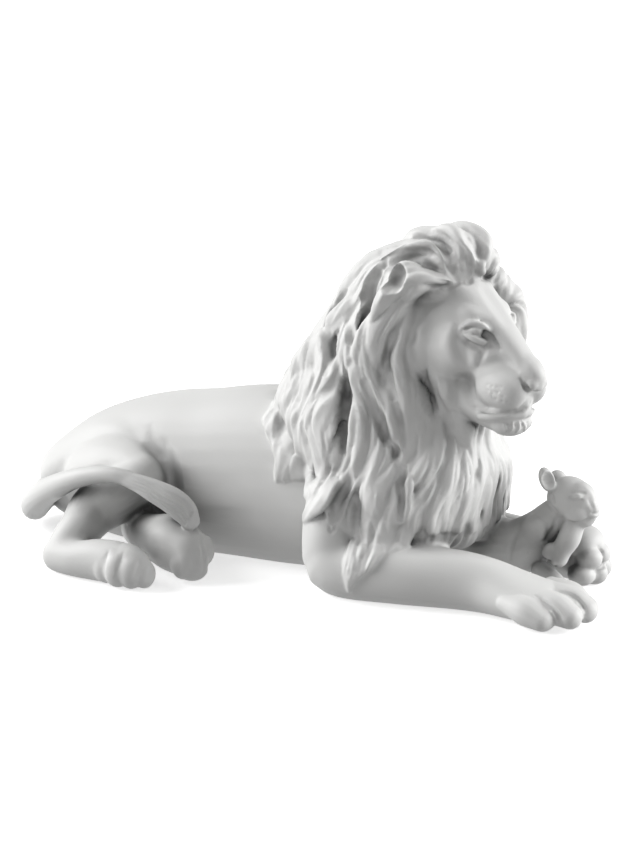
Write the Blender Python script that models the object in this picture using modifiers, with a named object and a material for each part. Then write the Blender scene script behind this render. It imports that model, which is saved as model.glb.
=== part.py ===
"""Lion and cub figurine in white porcelain, one cast piece.

The figure is modelled in its own units, about 633 from the near fore paw to the bend of the tail, and scaled
to FIGURE_LENGTH at the end. X runs forward, Y to the lion's far (left) side, Z up from the ground.
"""

import math
import random

import bmesh
import bpy
import numpy as np
from mathutils import Euler, Matrix, Vector
from mathutils.bvhtree import BVHTree

FIGURE_LENGTH = 0.40  # metres over all, along X
TRIANGLES = 9600  # of the faceted solid
BASE_VOXEL = 3.2  # units, for the big masses
FORM_VOXEL = 1.9  # units, for the whole figure
PORCELAIN_WHITE = (0.83, 0.82, 0.80, 1.0)
PORCELAIN_ROUGHNESS = 0.45

HEAD_TURN = -15.0  # degrees, towards the near side
HEAD_PIVOT = (105.0, 0.0)
FACE = (92, 0, 238)  # middle of the face, that the hair runs away from
MANE_CENTRE = Vector((100, -2, 150))
LOCK_SEED = 7
GROUND = 1.2  # units, height of the flat underside before the cut
GROUND_TIDY = GROUND / 8  # how far above the underside a point still joins it
BRIDGE_SLOPE = (0.73, -0.2, 0.68)  # the way the bridge of the nose faces
CAP_DEGREES = (20, 45, 70)  # steps that round off the ends of a loft
LOCK_STEPS = 8  # along a lock
FURROW_DEPTH = -2.5  # units, of the brow's furrow
HIP_DEPTH = -2.5  # units, of the hollow behind the hip
TOE_GAP = -4  # units, depth of the clefts between the toes


# Tools


def head_point(f, s, z):
    """A place on the turned head: f forward of the neck, s to its far side, z up."""
    a = math.radians(HEAD_TURN)
    x = HEAD_PIVOT[0] + f * math.cos(a) - s * math.sin(a)
    y = HEAD_PIVOT[1] + f * math.sin(a) + s * math.cos(a)
    return (x, y, z)


def curve_through(rows, count):
    """Evenly spaced rows of a smooth curve through the given rows, any number of columns."""
    rows = np.asarray(rows, float)
    ends = np.vstack([2 * rows[0] - rows[1], rows, 2 * rows[-1] - rows[-2]])
    steps = np.linalg.norm(np.diff(rows[:, :3], axis=0), axis=1)
    along = np.r_[0, np.cumsum(steps)]
    at = np.linspace(0, along[-1], count)
    i = np.clip(np.searchsorted(along, at, side="right") - 1, 0, len(rows) - 2)
    t = ((at - along[i]) / steps[i])[:, None]
    a, b, c, d = ends[i], ends[i + 1], ends[i + 2], ends[i + 3]
    return 0.5 * (2 * b + (c - a) * t + (2 * a - 5 * b + 4 * c - d) * t * t + (3 * b - a - 3 * c + d) * t**3)


def ball(bm, at, size, turn=(0, 0, 0), segments=28):
    """An ellipsoid with half sizes, turned by degrees about X, Y and Z."""
    place = Matrix.Translation(at) @ Euler([math.radians(a) for a in turn]).to_matrix().to_4x4()
    place = place @ Matrix.Diagonal((*size, 1))
    bmesh.ops.create_uvsphere(bm, u_segments=segments, v_segments=segments // 2, radius=1, matrix=place)


def skin_over(bm, rings, first, last):
    """Closes a tube of point rings, with a tip at either end."""
    loops = [[bm.verts.new(p) for p in ring] for ring in rings]
    a, b, n = bm.verts.new(first), bm.verts.new(last), len(loops[0])
    for one, two in zip(loops, loops[1:]):
        for j in range(n):
            bm.faces.new((one[j], one[(j + 1) % n], two[(j + 1) % n], two[j]))
    for j in range(n):
        bm.faces.new((a, loops[0][(j + 1) % n], loops[0][j]))
        bm.faces.new((b, loops[-1][j], loops[-1][(j + 1) % n]))


def loft(bm, rows, up=(0, 0, 1), rings=24, sides=20, power=2.0, flutes=0, depth=0.0, ups=None):
    """A closed round-ended tube through rows of x, y, z, half width and half thickness along up."""
    rows = np.asarray([(*r, r[3]) if len(r) == 4 else r for r in rows], float)
    ups = np.tile(np.asarray(up, float), (len(rows), 1)) if ups is None else np.asarray(ups, float)
    c = curve_through(np.c_[rows, ups], rings)
    p, w, h = c[:, :3], np.maximum(c[:, 3], 1e-3), np.maximum(c[:, 4], 1e-3)
    ahead = np.gradient(p, axis=0)
    ahead /= np.linalg.norm(ahead, axis=1)[:, None]
    side = np.cross(ahead, c[:, 5:8])
    side /= np.maximum(np.linalg.norm(side, axis=1), 1e-9)[:, None]
    rise = np.cross(side, ahead)
    a = np.linspace(0, 2 * math.pi, sides, endpoint=False)
    swell = 1 + depth * np.cos(flutes * a)
    ca = np.sign(np.cos(a)) * np.abs(np.cos(a)) ** (2 / power) * swell
    sa = np.sign(np.sin(a)) * np.abs(np.sin(a)) ** (2 / power) * swell
    loops = []

    def add_ring(k, middle, half_width, half_height):
        loops.append(middle + np.outer(ca * half_width, side[k]) + np.outer(sa * half_height, rise[k]))

    def add_cap(k, end):
        reach = min(w[k], h[k])
        for degrees in CAP_DEGREES[::end]:
            q = math.radians(degrees)
            add_ring(k, p[k] + end * ahead[k] * reach * math.sin(q), w[k] * math.cos(q), h[k] * math.cos(q))

    add_cap(0, -1)
    for k in range(rings):
        add_ring(k, p[k], w[k], h[k])
    add_cap(-1, 1)
    skin_over(bm, loops, p[0] - ahead[0] * min(w[0], h[0]), p[-1] + ahead[-1] * min(w[-1], h[-1]))


def stack(bm, rows, rings=36, sides=48):
    """A closed form of level rings through rows of z, centre x and y, half length, half width and power."""
    a = np.linspace(0, 2 * math.pi, sides, endpoint=False)
    ca, sa = np.cos(a), np.sin(a)
    loops = []
    for _, _, z, x, y, length, width, power in curve_through([(0, 0, *r) for r in rows], rings):
        xs = x + length * np.sign(ca) * np.abs(ca) ** (2 / power)
        ys = y + width * np.sign(sa) * np.abs(sa) ** (2 / power)
        loops.append(np.c_[xs, ys, np.full(sides, z)])
    skin_over(bm, loops, loops[0].mean(0), loops[-1].mean(0))


def made(name, *makers):
    """One mesh object of what the makers add."""
    bm = bmesh.new()
    for maker in makers:
        maker(bm)
    bmesh.ops.recalc_face_normals(bm, faces=bm.faces)
    mesh = bpy.data.meshes.new(name)
    bm.to_mesh(mesh)
    bm.free()
    piece = bpy.data.objects.new(name, mesh)
    bpy.context.scene.collection.objects.link(piece)
    return piece


def applied(piece, steps):
    """Bakes a list of modifiers, each a type and its settings, into the piece's mesh."""
    for kind, settings in steps:
        modifier = piece.modifiers.new(kind, kind)
        for key, value in settings.items():
            setattr(modifier, key, value)
    bpy.context.view_layer.update()
    graph = bpy.context.evaluated_depsgraph_get()
    mesh = bpy.data.meshes.new_from_object(piece.evaluated_get(graph))
    piece.modifiers.clear()
    piece.data = mesh
    return piece


def fused(pieces, voxel, smooth):
    """Joins closed pieces into one skin."""
    bm = bmesh.new()
    for piece in pieces:
        bm.from_mesh(piece.data)
    bm.to_mesh(pieces[0].data)
    bm.free()
    for piece in pieces[1:]:
        bpy.data.objects.remove(piece)
    remesh = ("REMESH", dict(mode="VOXEL", voxel_size=voxel))
    soften = ("SMOOTH", dict(factor=0.5, iterations=smooth))
    return applied(pieces[0], [remesh, soften])


def of_points(mesh, name):
    """A vector of every point of the mesh."""
    values = np.empty(len(mesh.vertices) * 3, np.float32)
    mesh.vertices.foreach_get(name, values)
    return values.reshape(-1, 3).astype(float)


def carve(piece, strokes):
    """Presses strokes into the mesh, or raises them: each is points of x, y, z and radius, then a depth."""
    mesh = piece.data
    points, normals = of_points(mesh, "co"), of_points(mesh, "normal")
    for rows, depth in strokes:
        rows = np.asarray(rows, float)
        if len(rows) > 1:
            length = np.linalg.norm(np.diff(rows[:, :3], axis=0), axis=1).sum()
            rows = curve_through(rows, max(4, int(length / (0.4 * rows[:, 3].mean()))))
        reach = rows[:, 3].max()
        low, high = rows[:, :3].min(0) - reach, rows[:, :3].max(0) + reach
        near = np.nonzero(((points > low) & (points < high)).all(1))[0]
        if not len(near):
            continue
        best = np.full(len(near), 9.0)
        for a, b in list(zip(rows, rows[1:])) or [(rows[0], rows[0])]:
            run = b[:3] - a[:3]
            t = np.clip((points[near] - a[:3]) @ run / max(run @ run, 1e-9), 0, 1)
            away = np.linalg.norm(points[near] - a[:3] - t[:, None] * run, axis=1)
            best = np.minimum(best, away / (a[3] + t * (b[3] - a[3])))
        points[near] += normals[near] * (np.clip(1 - best**2, 0, 1) ** 2 * depth)[:, None]
    mesh.vertices.foreach_set("co", points.astype(np.float32).ravel())
    mesh.update()


# Masses


def torso(bm):
    rows = [
        (-304, 12, 26, 16, 22), (-288, 8, 36, 34, 35), (-262, 4, 46, 48, 46), (-222, 0, 56, 57, 61),
        (-180, 0, 62, 61, 71), (-140, 0, 66, 61, 77), (-100, 0, 71, 61, 81), (-60, 0, 76, 62, 84),
        (-20, 0, 79, 63, 85), (40, 0, 82, 62, 82), (100, 0, 80, 56, 70), (135, 0, 76, 40, 52),
    ]
    loft(bm, rows, rings=40, sides=32, power=2.2)


def hind_legs(bm):
    """The near thigh up to its knee, the shin down to the hock, the foot forward, and the far foot."""
    thigh = [(-256, -14, 46, 38, 38), (-222, -40, 60, 42, 44), (-184, -62, 72, 38, 39)]
    loft(bm, [*thigh, (-152, -80, 80, 30, 32), (-126, -88, 84, 23, 26)])
    shin = [(-132, -92, 78, 22, 22), (-150, -114, 58, 22, 24), (-168, -132, 38, 19, 20)]
    foot = [(-184, -156, 17, 14, 16), (-160, -160, 18, 15, 17), (-134, -158, 21, 17, 20)]
    far_foot = [(-160, -50, 22, 22, 22), (-138, -84, 24, 17, 20), (-112, -100, 26, 18, 22)]
    for rows, end in (
        (shin, (-182, -148, 20, 15, 17)),
        (foot, (-112, -156, 22, 20, 21)),
        (far_foot, (-88, -104, 26, 22, 24)),
    ):
        loft(bm, [*rows, end])


def fore_legs(bm):
    near = [(62, -60, 74, 30, 40), (64, -78, 44, 28, 34), (76, -86, 28, 27, 28), (133, -79, 27, 26, 27)]
    near += [(176, -68, 27, 26, 27), (208, -63, 25, 26, 25), (238, -63, 21, 31, 21), (264, -64, 18, 34, 18)]
    far = [(62, 60, 74, 30, 40), (66, 78, 42, 28, 34), (76, 84, 27, 25, 27), (133, 80, 25, 23, 25)]
    far += [(185, 74, 24, 22, 24), (212, 70, 24, 24, 24), (238, 66, 24, 26, 24)]
    for rows in (near, far):
        loft(bm, rows, rings=40, sides=24)


def mane_mass(bm):
    rows = [
        (322, 134, -9, 22, 23, 2), (310, 130, -8, 37, 34, 2.1), (295, 121, -7, 49, 42, 2.1),
        (273, 109, -5, 58, 49, 2.1), (248, 96, -3, 62, 56, 2.1), (216, 80, -2, 63, 65, 2.2),
        (184, 79, -1, 77, 71, 2.3), (150, 80, 0, 90, 79, 2.1), (112, 98, 0, 88, 84, 2.1),
        (78, 120, 0, 63, 82, 2.1), (56, 127, 0, 57, 74, 2.1), (44, 130, 0, 45, 60, 2.1),
    ]
    stack(bm, rows)
    ball(bm, head_point(47, 6, 297), (28, 32, 26), (0, 0, HEAD_TURN))


def skull(bm):
    h = head_point
    ball(bm, h(44, 0, 250), (44, 39, 41), (0, 0, HEAD_TURN))
    bridge = [(*h(58, 0, 276), 24, 16), (*h(74, 0, 264), 21, 15), (*h(95, 0, 243), 15, 14)]
    bridge += [(*h(107, 0, 229), 13.5, 14), (*h(122, 0, 216), 13, 12), (*h(131, 0, 209), 12.5, 11)]
    loft(bm, bridge, up=BRIDGE_SLOPE, power=2.7)
    muzzle = [(*h(54, 0, 234), 38, 34), (*h(80, 0, 228), 30, 24), (*h(100, 0, 214), 25, 20)]
    loft(bm, [*muzzle, (*h(114, 0, 203), 21, 17)], up=(0.5, -0.13, 0.85))
    jaw = [(*h(50, 0, 194), 25, 22), (*h(78, 0, 184), 23, 18), (*h(100, 0, 175), 20, 15)]
    loft(bm, [*jaw, (*h(114, 0, 171), 15, 14)])
    for s in (-1, 1):
        ball(bm, h(60, s * 25, 226), (31, 17, 31), (0, 0, HEAD_TURN))
        ball(bm, h(112, s * 12, 198), (24, 14, 18), (0, 8, HEAD_TURN))


# Forms


def face(bm):
    """Brows, eyes, cheek bones, muzzle pads, nose and chin."""
    h = head_point
    brow = [(70, 25, 256, 6), (82, 20, 259, 9), (93, 12, 256, 8)]
    lower_lid = [(77, 26, 245, 4), (87, 25, 240, 5.5), (96, 22.5, 238, 5.5), (103, 18, 235, 4)]
    cheek = [(69, 31, 246, 4, 4), (67, 33, 233, 6, 5), (74, 32, 219, 6, 5), (85, 28, 209, 4, 4)]
    for s in (-1, 1):
        loft(bm, [(*h(f, s * across, z), r) for f, across, z, r in brow], rings=12, sides=12)
        ball(bm, h(89, s * 19.5, 247), (9, 8, 7), (0, 0, HEAD_TURN))
        loft(bm, [(*h(f, s * across, z), r) for f, across, z, r in lower_lid], rings=12, sides=12)
        rows = [(*h(f, s * across, z), wide, tall) for f, across, z, wide, tall in cheek]
        loft(bm, rows, up=(0, 1, 0), rings=14, sides=12)
        ball(bm, h(118, s * 13.5, 199), (19, 13.5, 16), (0, 12, HEAD_TURN))
        ball(bm, h(137, s * 6, 205), (6, 6, 6))
    nose = [(*h(122, 0, 222), 10, 8), (*h(132, 0, 216), 11, 8), (*h(138, 0, 209), 9, 7)]
    loft(bm, [*nose, (*h(138, 0, 201), 6, 5)], up=BRIDGE_SLOPE, rings=12, sides=14)
    ball(bm, h(119, 0, 169), (12, 14, 11))
    ball(bm, h(126, 0, 184), (9, 11, 8))


def ears(bm):
    h = head_point
    for s in (-1, 1):
        ball(bm, h(26, s * 49, 283), (21, 8, 22), (0, 0, HEAD_TURN - 8 * s))
        rim = [(49, 296), (40, 306), (26, 307), (13, 298), (7, 282), (10, 264)]
        loft(bm, [(*h(f, s * (57 - 0.1 * abs(f - 24)), z), 4.5) for f, z in rim], up=(0, 1, 0), sides=12)


def paws(bm):
    """The toes of all four feet."""
    toes = [(262, -90, 15, 22, 13, 15), (279, -75, 17, 24, 13, 17)]
    toes += [(286, -53, 17, 23, 13, 17), (277, -36, 16, 20, 12, 16)]
    for x, y, z, long, wide, tall in toes:
        rows = [(x - 18, y + 3, z + 7, wide * 0.8, tall * 0.6), (x, y, z + 2, wide, tall * 0.85)]
        loft(bm, [*rows, (x + long * 0.65, y - 2, z - 3, wide * 0.85, tall * 0.65)], rings=12, sides=14)
    ball(bm, (245, 66, 34), (20, 24, 14))
    for x, y in ((248, 46), (254, 60), (253, 75), (244, 88)):
        ball(bm, (x, y, 24), (13, 9, 13))
        ball(bm, (x + 3, y, 10), (13, 9, 10))
    for at, size in (
        ((-104, -178, 13), (15, 10, 13)),
        ((-94, -166, 14), (15, 11, 14)),
        ((-92, -152, 20), (14, 10, 15)),
        ((-104, -146, 27), (13, 9, 14)),
        ((-78, -124, 13), (16, 10, 13)),
        ((-66, -114, 18), (13, 10, 15)),
        ((-64, -104, 32), (13, 11, 15)),
        ((-82, -104, 39), (14, 11, 14)),
    ):
        ball(bm, at, size)


def tail(bm):
    rows = [
        (-262, 22, 60, 24), (-290, 22, 44, 19), (-304, 2, 28, 15), (-300, -26, 20, 14), (-282, -56, 26, 13),
        (-262, -78, 40, 12.5), (-232, -106, 64, 10.5), (-204, -126, 82, 8.5), (-173, -137, 92, 7),
        (-147, -138, 93, 7), (-124, -134, 88, 8),
    ]
    loft(bm, rows, rings=60, sides=16)
    tuft = [(-126, -134, 89, 8, 8), (-112, -130, 84, 12, 10), (-98, -125, 76, 14, 11)]
    loft(bm, [*tuft, (-86, -120, 67, 12, 10), (-77, -116, 59, 5, 5)], flutes=5, depth=0.08)


def cub(bm):
    """The cub asleep between the fore legs, its chin on the far paw."""
    body = [(146, 20, 24, 18, 22), (176, 24, 31, 22, 28), (200, 27, 36, 21, 26), (218, 30, 50, 18, 22)]
    loft(bm, [*body, (232, 31, 66, 15, 17)])
    ball(bm, (209, 20, 50), (19, 12, 16), (0, -25, 15))
    ball(bm, (248, 31, 85), (23, 20, 21), (0, 10, -15))
    loft(bm, [(254, 29, 78, 15, 14), (266, 26, 75, 11, 10), (272, 25, 74, 8, 8)], rings=10, sides=14)
    ball(bm, (264, 26, 66), (8, 9, 6))
    loft(bm, [(249, 24, 60, 7.5), (246, 18, 46, 8), (240, 14, 34, 9), (235, 12, 28, 8.5)], rings=14, sides=14)
    ball(bm, (228, 12, 38), (8, 7, 8))
    loft(bm, [(226, 16, 20, 10, 9), (240, 12, 15, 8, 8), (252, 10, 9, 6, 6)], rings=10, sides=12)
    for y, z in ((20, 99), (50, 94)):
        ball(bm, (228, y, z), (5, 9, 10), (0, -20, 10))
        rim = [(232, 9, 3), (230, 6, 10), (229, -2, 12), (229, -9, 4), (230, -6, -7)]
        loft(bm, [(x, y + across, z + rise, 2.4) for x, across, rise in rim], rings=14, sides=10)


# Hair


class Skin:
    """The bare figure, that the locks lie on."""

    def __init__(self, piece):
        self.tree = BVHTree.FromObject(piece, bpy.context.evaluated_depsgraph_get())

    def snap(self, p):
        return self.tree.find_nearest(Vector(p))[:2]

    def out(self, around, rise):
        """The skin in a direction from the middle of the mane, in degrees."""
        a, e = math.radians(around), math.radians(rise)
        way = Vector((math.cos(a) * math.cos(e), math.sin(a) * math.cos(e), math.sin(e)))
        return self.tree.ray_cast(MANE_CENTRE, way)[0]


def lock(bm, skin, guide, width, thick, rings=22, flutes=6, sides=20):
    """One lock of hair that tapers to its tip, lying on the skin along the guide points."""
    ups, rows, last = [], [], LOCK_STEPS
    for k, p in enumerate(curve_through(guide, last + 1)):
        t = k / last
        at, normal = skin.snap(p)
        rise = thick * (0.30 * math.sin(math.pi * t) ** 0.8 - 0.25 * (1 - t) ** 2)
        if t < 0.4:
            full = 0.5 + 0.5 * math.sin(t / 0.4 * math.pi / 2)
        else:
            full = 0.1 + 0.9 * math.cos((t - 0.4) / 0.6 * math.pi / 2) ** 0.8
        rows.append((*(at + normal * rise), width * 0.5 * full, thick * 0.5 * (0.5 + 0.5 * full)))
        ups.append(normal)
    ups = [(ups[max(0, k - 1)] + n + ups[min(last, k + 1)]).normalized() for k, n in enumerate(ups)]
    loft(bm, rows, rings=rings, sides=sides, flutes=flutes, depth=0.06, ups=ups)


def flow(p, normal):
    """The way the hair runs at a place: away from the face, then down."""
    away = p - Vector(head_point(*FACE))
    fall = min(1.0, max(0.0, (away.length - 45) / 70))
    way = away.normalized() * (1 - fall) + Vector((-0.12, 0.1 if p.y > 0 else -0.1, -1)) * fall
    if p.z > 285:
        way += Vector((-0.6, 0, 0))
    return (way - normal * way.dot(normal)).normalized()


def run_of_hair(skin, start, length, wave, phase, swing=70, step=6):
    """A wavy line down the flow from a start."""
    p, normal = skin.snap(start)
    points = [p]
    for k in range(int(length / step)):
        way = flow(p, normal)
        turn = wave * math.sin(2 * math.pi * k * step / swing + phase)
        q, normal = skin.snap(p + (way * math.cos(turn) + normal.cross(way) * math.sin(turn)) * step)
        if (q - p).length < 0.3 * step:
            break
        points.append(q)
        p = q
    return points


# Guide points on the near side, width and thickness. The far side has the same locks, mirrored.
NEAR_LOCKS = [
    ([(30, -50, 228), (27, -54, 198), (37, -67, 171), (33, -70, 140), (30, -64, 112), (44, -80, 95),
      (62, -98, 79)], 22, 11),
    ([(20, -44, 196), (17, -52, 176), (24, -62, 150), (24, -64, 123), (22, -66, 104)], 18, 9),
    ([(6, -50, 160), (7, -54, 140), (8, -54, 122), (6, -59, 106), (5, -62, 90)], 13, 9),
    ([(44, -56, 222), (49, -63, 204), (55, -69, 182), (56, -75, 158), (54, -77, 137), (59, -78, 115),
      (69, -91, 92), (77, -101, 67)], 25, 13),
    ([(79, -71, 187), (79, -76, 163), (78, -79, 143), (80, -82, 119), (76, -88, 94), (77, -99, 72)], 20, 10),
    ([(97, -73, 172), (106, -77, 146), (113, -82, 123), (117, -83, 101), (110, -86, 76), (104, -99, 48),
      (98, -108, 14)], 32, 15),
    ([(118, -74, 150), (128, -77, 130), (136, -81, 106), (133, -82, 85), (124, -84, 64), (118, -97, 44),
      (108, -106, 26)], 16, 11),
    ([(138, -76, 128), (145, -79, 104), (144, -80, 84), (138, -80, 62), (128, -92, 46)], 18, 10),
    ([(148, -75, 120), (151, -78, 98), (149, -78, 76), (145, -77, 56)], 15, 9),
    ([(155, -62, 140), (160, -70, 111), (161, -74, 87), (160, -71, 58)], 21, 10),
    ([(166, -50, 140), (174, -57, 115), (175, -63, 92), (174, -62, 58)], 22, 10),
    ([(172, -26, 147), (180, -39, 127), (187, -48, 100), (183, -52, 56)], 21, 10),
    ([(178, -2, 150), (190, -18, 118), (196, -23, 90), (192, -22, 52)], 21, 11),
    ([(66, -44, 262), (56, -50, 244), (46, -55, 225), (53, -64, 206)], 18, 10),
    ([(80, -50, 274), (76, -58, 250), (68, -65, 225), (72, -68, 206), (84, -70, 190),
      (92, -71, 178)], 15, 10),
    ([(119, -54, 228), (122, -57, 206), (133, -58, 182), (146, -60, 160), (147, -66, 141),
      (145, -75, 119)], 25, 13),
    ([(108, -54, 268), (101, -61, 240), (97, -67, 213), (104, -70, 187), (120, -72, 164), (135, -75, 141),
      (144, -79, 116)], 27, 16),
    ([(156, -42, 282), (140, -51, 281), (126, -56, 272), (115, -60, 259), (109, -62, 240)], 14, 10),
    ([(136, -51, 276), (122, -57, 262), (113, -61, 244), (115, -61, 224)], 13, 9),
    ([(176, -10, 292), (174, -8, 310), (164, -10, 326), (144, -16, 332), (120, -22, 324)], 20, 14),
    ([(164, -36, 290), (158, -36, 305), (146, -36, 316), (126, -36, 312), (104, -38, 300),
      (88, -42, 284)], 18, 11),
    ([(171, -22, 292), (166, -24, 308), (152, -26, 320), (128, -30, 318), (104, -32, 306),
      (84, -34, 290)], 18, 12),
]


def mirrored(p):
    """A near point's twin on the far side, turned with the head higher up."""
    a = math.radians(2 * HEAD_TURN * min(1, max(0, (p[2] - 170) / 80)))
    x, y = p[0] - HEAD_PIVOT[0], -p[1]
    return (HEAD_PIVOT[0] + x * math.cos(a) - y * math.sin(a), x * math.sin(a) + y * math.cos(a), p[2])


def mane(bm, skin):
    """Rows of generated locks all round, then the long locks that give the mane its folds."""
    rnd = random.Random(LOCK_SEED)
    for rise, count in ((-14, 18), (4, 20), (20, 24), (36, 20), (52, 18), (68, 14), (79, 10)):
        for k in range(count):
            around = 35 + 290 * (k + rnd.uniform(-0.3, 0.3)) / count
            start = skin.out(around, rise + rnd.uniform(-5, 5))
            if start is None or start.x < -24 or (start.z < 165 and start.x < 20) or start.z < 75:
                continue
            line = run_of_hair(skin, start, rnd.uniform(60, 85), 0.45, rnd.uniform(0, 6.28))
            if len(line) > 6 and min(q.x for q in line) > -34:
                lock(bm, skin, line, rnd.uniform(17, 25), rnd.uniform(8, 11))
    for k in range(9):
        across = -36 + 9 * k
        start = head_point(62 - 0.4 * abs(across), across, 330)
        lock(bm, skin, run_of_hair(skin, start, 95, 0.35, 2.0 * k), 20, 11)
    for guide, width, thick in NEAR_LOCKS:
        lock(bm, skin, guide, width, thick)
        lock(bm, skin, [mirrored(p) for p in guide], width * rnd.uniform(0.9, 1.15), thick)


# Carving


def face_strokes():
    """The mouth, nostrils, eyes and the folds below them, then the nose's cleft and the brow's furrow."""
    h = head_point
    mouth = [(91, 27, 185, 4), (112, 26, 181, 4), (130, 14, 180, 4), (137, 2, 186, 3.5)]
    nostril = [(137, 9, 204, 3.5), (141, 4, 200, 3)]
    eye = [(80, 29, 250, 3), (92, 27, 252, 3.5), (101, 19, 250, 4), (107, 14, 241, 4.5)]
    fold = [(96, 27, 232, 5), (96, 26, 222, 5)]
    strokes = []
    for s in (-1, 1):
        for rows, depth in ((mouth, -4), (nostril, -3), (eye, -3.5), (fold, -3)):
            strokes.append(([(*h(f, s * across, z), r) for f, across, z, r in rows], depth))
    strokes.append(([(*h(141, 0, 199), 3), (*h(137, 0, 188), 3)], -3))
    strokes.append(([(*h(86, 0, 278), 6), (*h(96, 0, 266), 6), (*h(104, 0, 254), 5)], FURROW_DEPTH))
    return strokes


def body_strokes():
    """The flank's fold before the knee, the hip, the valleys of the mane and the clefts of the toes."""
    strokes = [
        ([(-140, -64, 142, 9), (-128, -70, 118, 12), (-116, -76, 92, 12), (-104, -70, 70, 9)], -6),
        ([(-117, -40, 146, 16)], 4),
        ([(-186, -60, 112, 8), (-176, -66, 104, 9)], HIP_DEPTH),
    ]
    mane_valleys = (
        ([(70, -70, 208, 8), (75, -74, 186, 10), (80, -77, 168, 10), (77, -80, 150, 7)], -9),
        ([(55, -58, 243, 7), (54, -64, 226, 9), (57, -68, 209, 7)], -8),
        ([(93, -56, 288, 6), (92, -62, 268, 8), (89, -66, 248, 6)], -7),
        ([(94, -76, 176, 5), (112, -78, 154, 6), (124, -79, 138, 6), (131, -82, 118, 5)], -7),
        ([(135, -52, 196, 8), (148, -56, 176, 12), (158, -56, 158, 10)], -8),
    )
    for valley, depth in mane_valleys:
        strokes.append((valley, depth))
        strokes.append(([(*mirrored(p), p[3]) for p in valley], depth))
    for x, y in ((268, -82), (282, -63), (282, -44)):
        cleft = [(x - 16, y + 3, 38, 4), (x + 4, y, 33, 4), (x + 18, y - 1, 18, 4), (x + 20, y - 1, 6, 3)]
        strokes.append((cleft, TOE_GAP))
    return strokes


# The solid


def sculpt():
    base = fused([made("masses", torso, hind_legs, fore_legs, mane_mass, skull)], BASE_VOXEL, 10)
    skin = Skin(base)
    forms = made("forms", tail, cub, face, paws)
    hair = made("hair", lambda bm: mane(bm, skin), ears)
    figure = fused([base, forms, hair], FORM_VOXEL, 2)
    carve(figure, face_strokes() + body_strokes())
    return figure


def outer_shell(piece):
    """Keeps the largest shell alone, so no void is left inside."""
    bm = bmesh.new()
    bm.from_mesh(piece.data)
    bm.verts.ensure_lookup_table()
    left, best = set(bm.verts), []
    while left:
        shell, edge = set(), {left.pop()}
        while edge:
            shell |= edge
            edge = {e.other_vert(v) for v in edge for e in v.link_edges} - shell
        left -= shell
        best = max(best, shell, key=len)
    bmesh.ops.delete(bm, geom=[v for v in bm.verts if v not in best], context="VERTS")
    bm.to_mesh(piece.data)
    bm.free()


def flat_below(piece, height, tidy=0.0):
    """Levels whatever lies below a height, or less than tidy above it, which makes the flat underside."""
    mesh = piece.data
    points = np.empty(len(mesh.vertices) * 3, np.float32)
    mesh.vertices.foreach_get("co", points)
    rises = points[2::3]
    rises[rises < height + tidy] = height
    mesh.vertices.foreach_set("co", points)
    mesh.update()


def porcelain():
    """Unglazed white porcelain."""
    material = bpy.data.materials.new("porcelain")
    material.use_nodes = True
    shader = material.node_tree.nodes["Principled BSDF"]
    shader.inputs["Base Color"].default_value = PORCELAIN_WHITE
    shader.inputs["Roughness"].default_value = PORCELAIN_ROUGHNESS
    return material


def build():
    """The whole figurine, stood on the ground at the middle of its length and width."""
    figure = sculpt()
    outer_shell(figure)
    flat_below(figure, GROUND)
    applied(figure, [("DECIMATE", dict(ratio=TRIANGLES / (2 * len(figure.data.polygons))))])
    flat_below(figure, GROUND, GROUND_TIDY)
    points = np.array([v.co for v in figure.data.vertices])
    low, high = points.min(0), points.max(0)
    scale = FIGURE_LENGTH / (high[0] - low[0])
    middle = ((low[0] + high[0]) / 2, (low[1] + high[1]) / 2, low[2])
    figure.data.transform(Matrix.Scale(scale, 4) @ Matrix.Translation([-c for c in middle]))
    figure.name = figure.data.name = "lion_and_cub"
    figure.data.materials.append(porcelain())
    figurine = bpy.data.collections.new("lion_and_cub_figurine")
    bpy.context.scene.collection.children.link(figurine)
    bpy.context.scene.collection.objects.unlink(figure)
    figurine.objects.link(figure)


if __name__ == "__main__":
    for leftover in list(bpy.data.objects):
        bpy.data.objects.remove(leftover)
    build()
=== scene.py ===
"""Looks of the porcelain lion and cub: one finely carved casting, its bisque finish and a plain studio.

The figure is modelled in its own units, 633 from the near fore paw to the bend of the tail, and then brought
to the size and place of the plain solid that it stands for. X runs forward, Y to the lion's far side, Z up.
"""

import math
import random

import bmesh
import bpy
import numpy as np
from bpy.props import FloatProperty, FloatVectorProperty, IntProperty, PointerProperty
from bpy.types import Operator, Panel, PropertyGroup
from mathutils import Euler, Matrix, Vector
from mathutils.bvhtree import BVHTree


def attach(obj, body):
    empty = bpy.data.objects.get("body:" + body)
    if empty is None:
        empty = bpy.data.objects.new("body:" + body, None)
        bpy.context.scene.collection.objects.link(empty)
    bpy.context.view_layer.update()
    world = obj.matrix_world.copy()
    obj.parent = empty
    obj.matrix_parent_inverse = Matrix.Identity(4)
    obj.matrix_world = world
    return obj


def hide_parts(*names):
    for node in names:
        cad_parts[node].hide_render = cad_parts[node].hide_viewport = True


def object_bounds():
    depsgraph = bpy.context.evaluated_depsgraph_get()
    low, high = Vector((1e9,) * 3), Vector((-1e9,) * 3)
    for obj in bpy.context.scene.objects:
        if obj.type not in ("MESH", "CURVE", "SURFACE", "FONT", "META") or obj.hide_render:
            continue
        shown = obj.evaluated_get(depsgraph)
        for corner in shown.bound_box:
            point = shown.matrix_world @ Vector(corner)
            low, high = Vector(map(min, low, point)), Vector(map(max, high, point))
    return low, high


bl_info = {
    "name": "Porcelain Lion and Cub",
    "version": (1, 0, 0),
    "blender": (4, 5, 0),
    "location": "View3D > Sidebar > Figurine",
    "description": "Models a white porcelain lion with its cub and the studio that it is shown in",
    "category": "Object",
}

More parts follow.
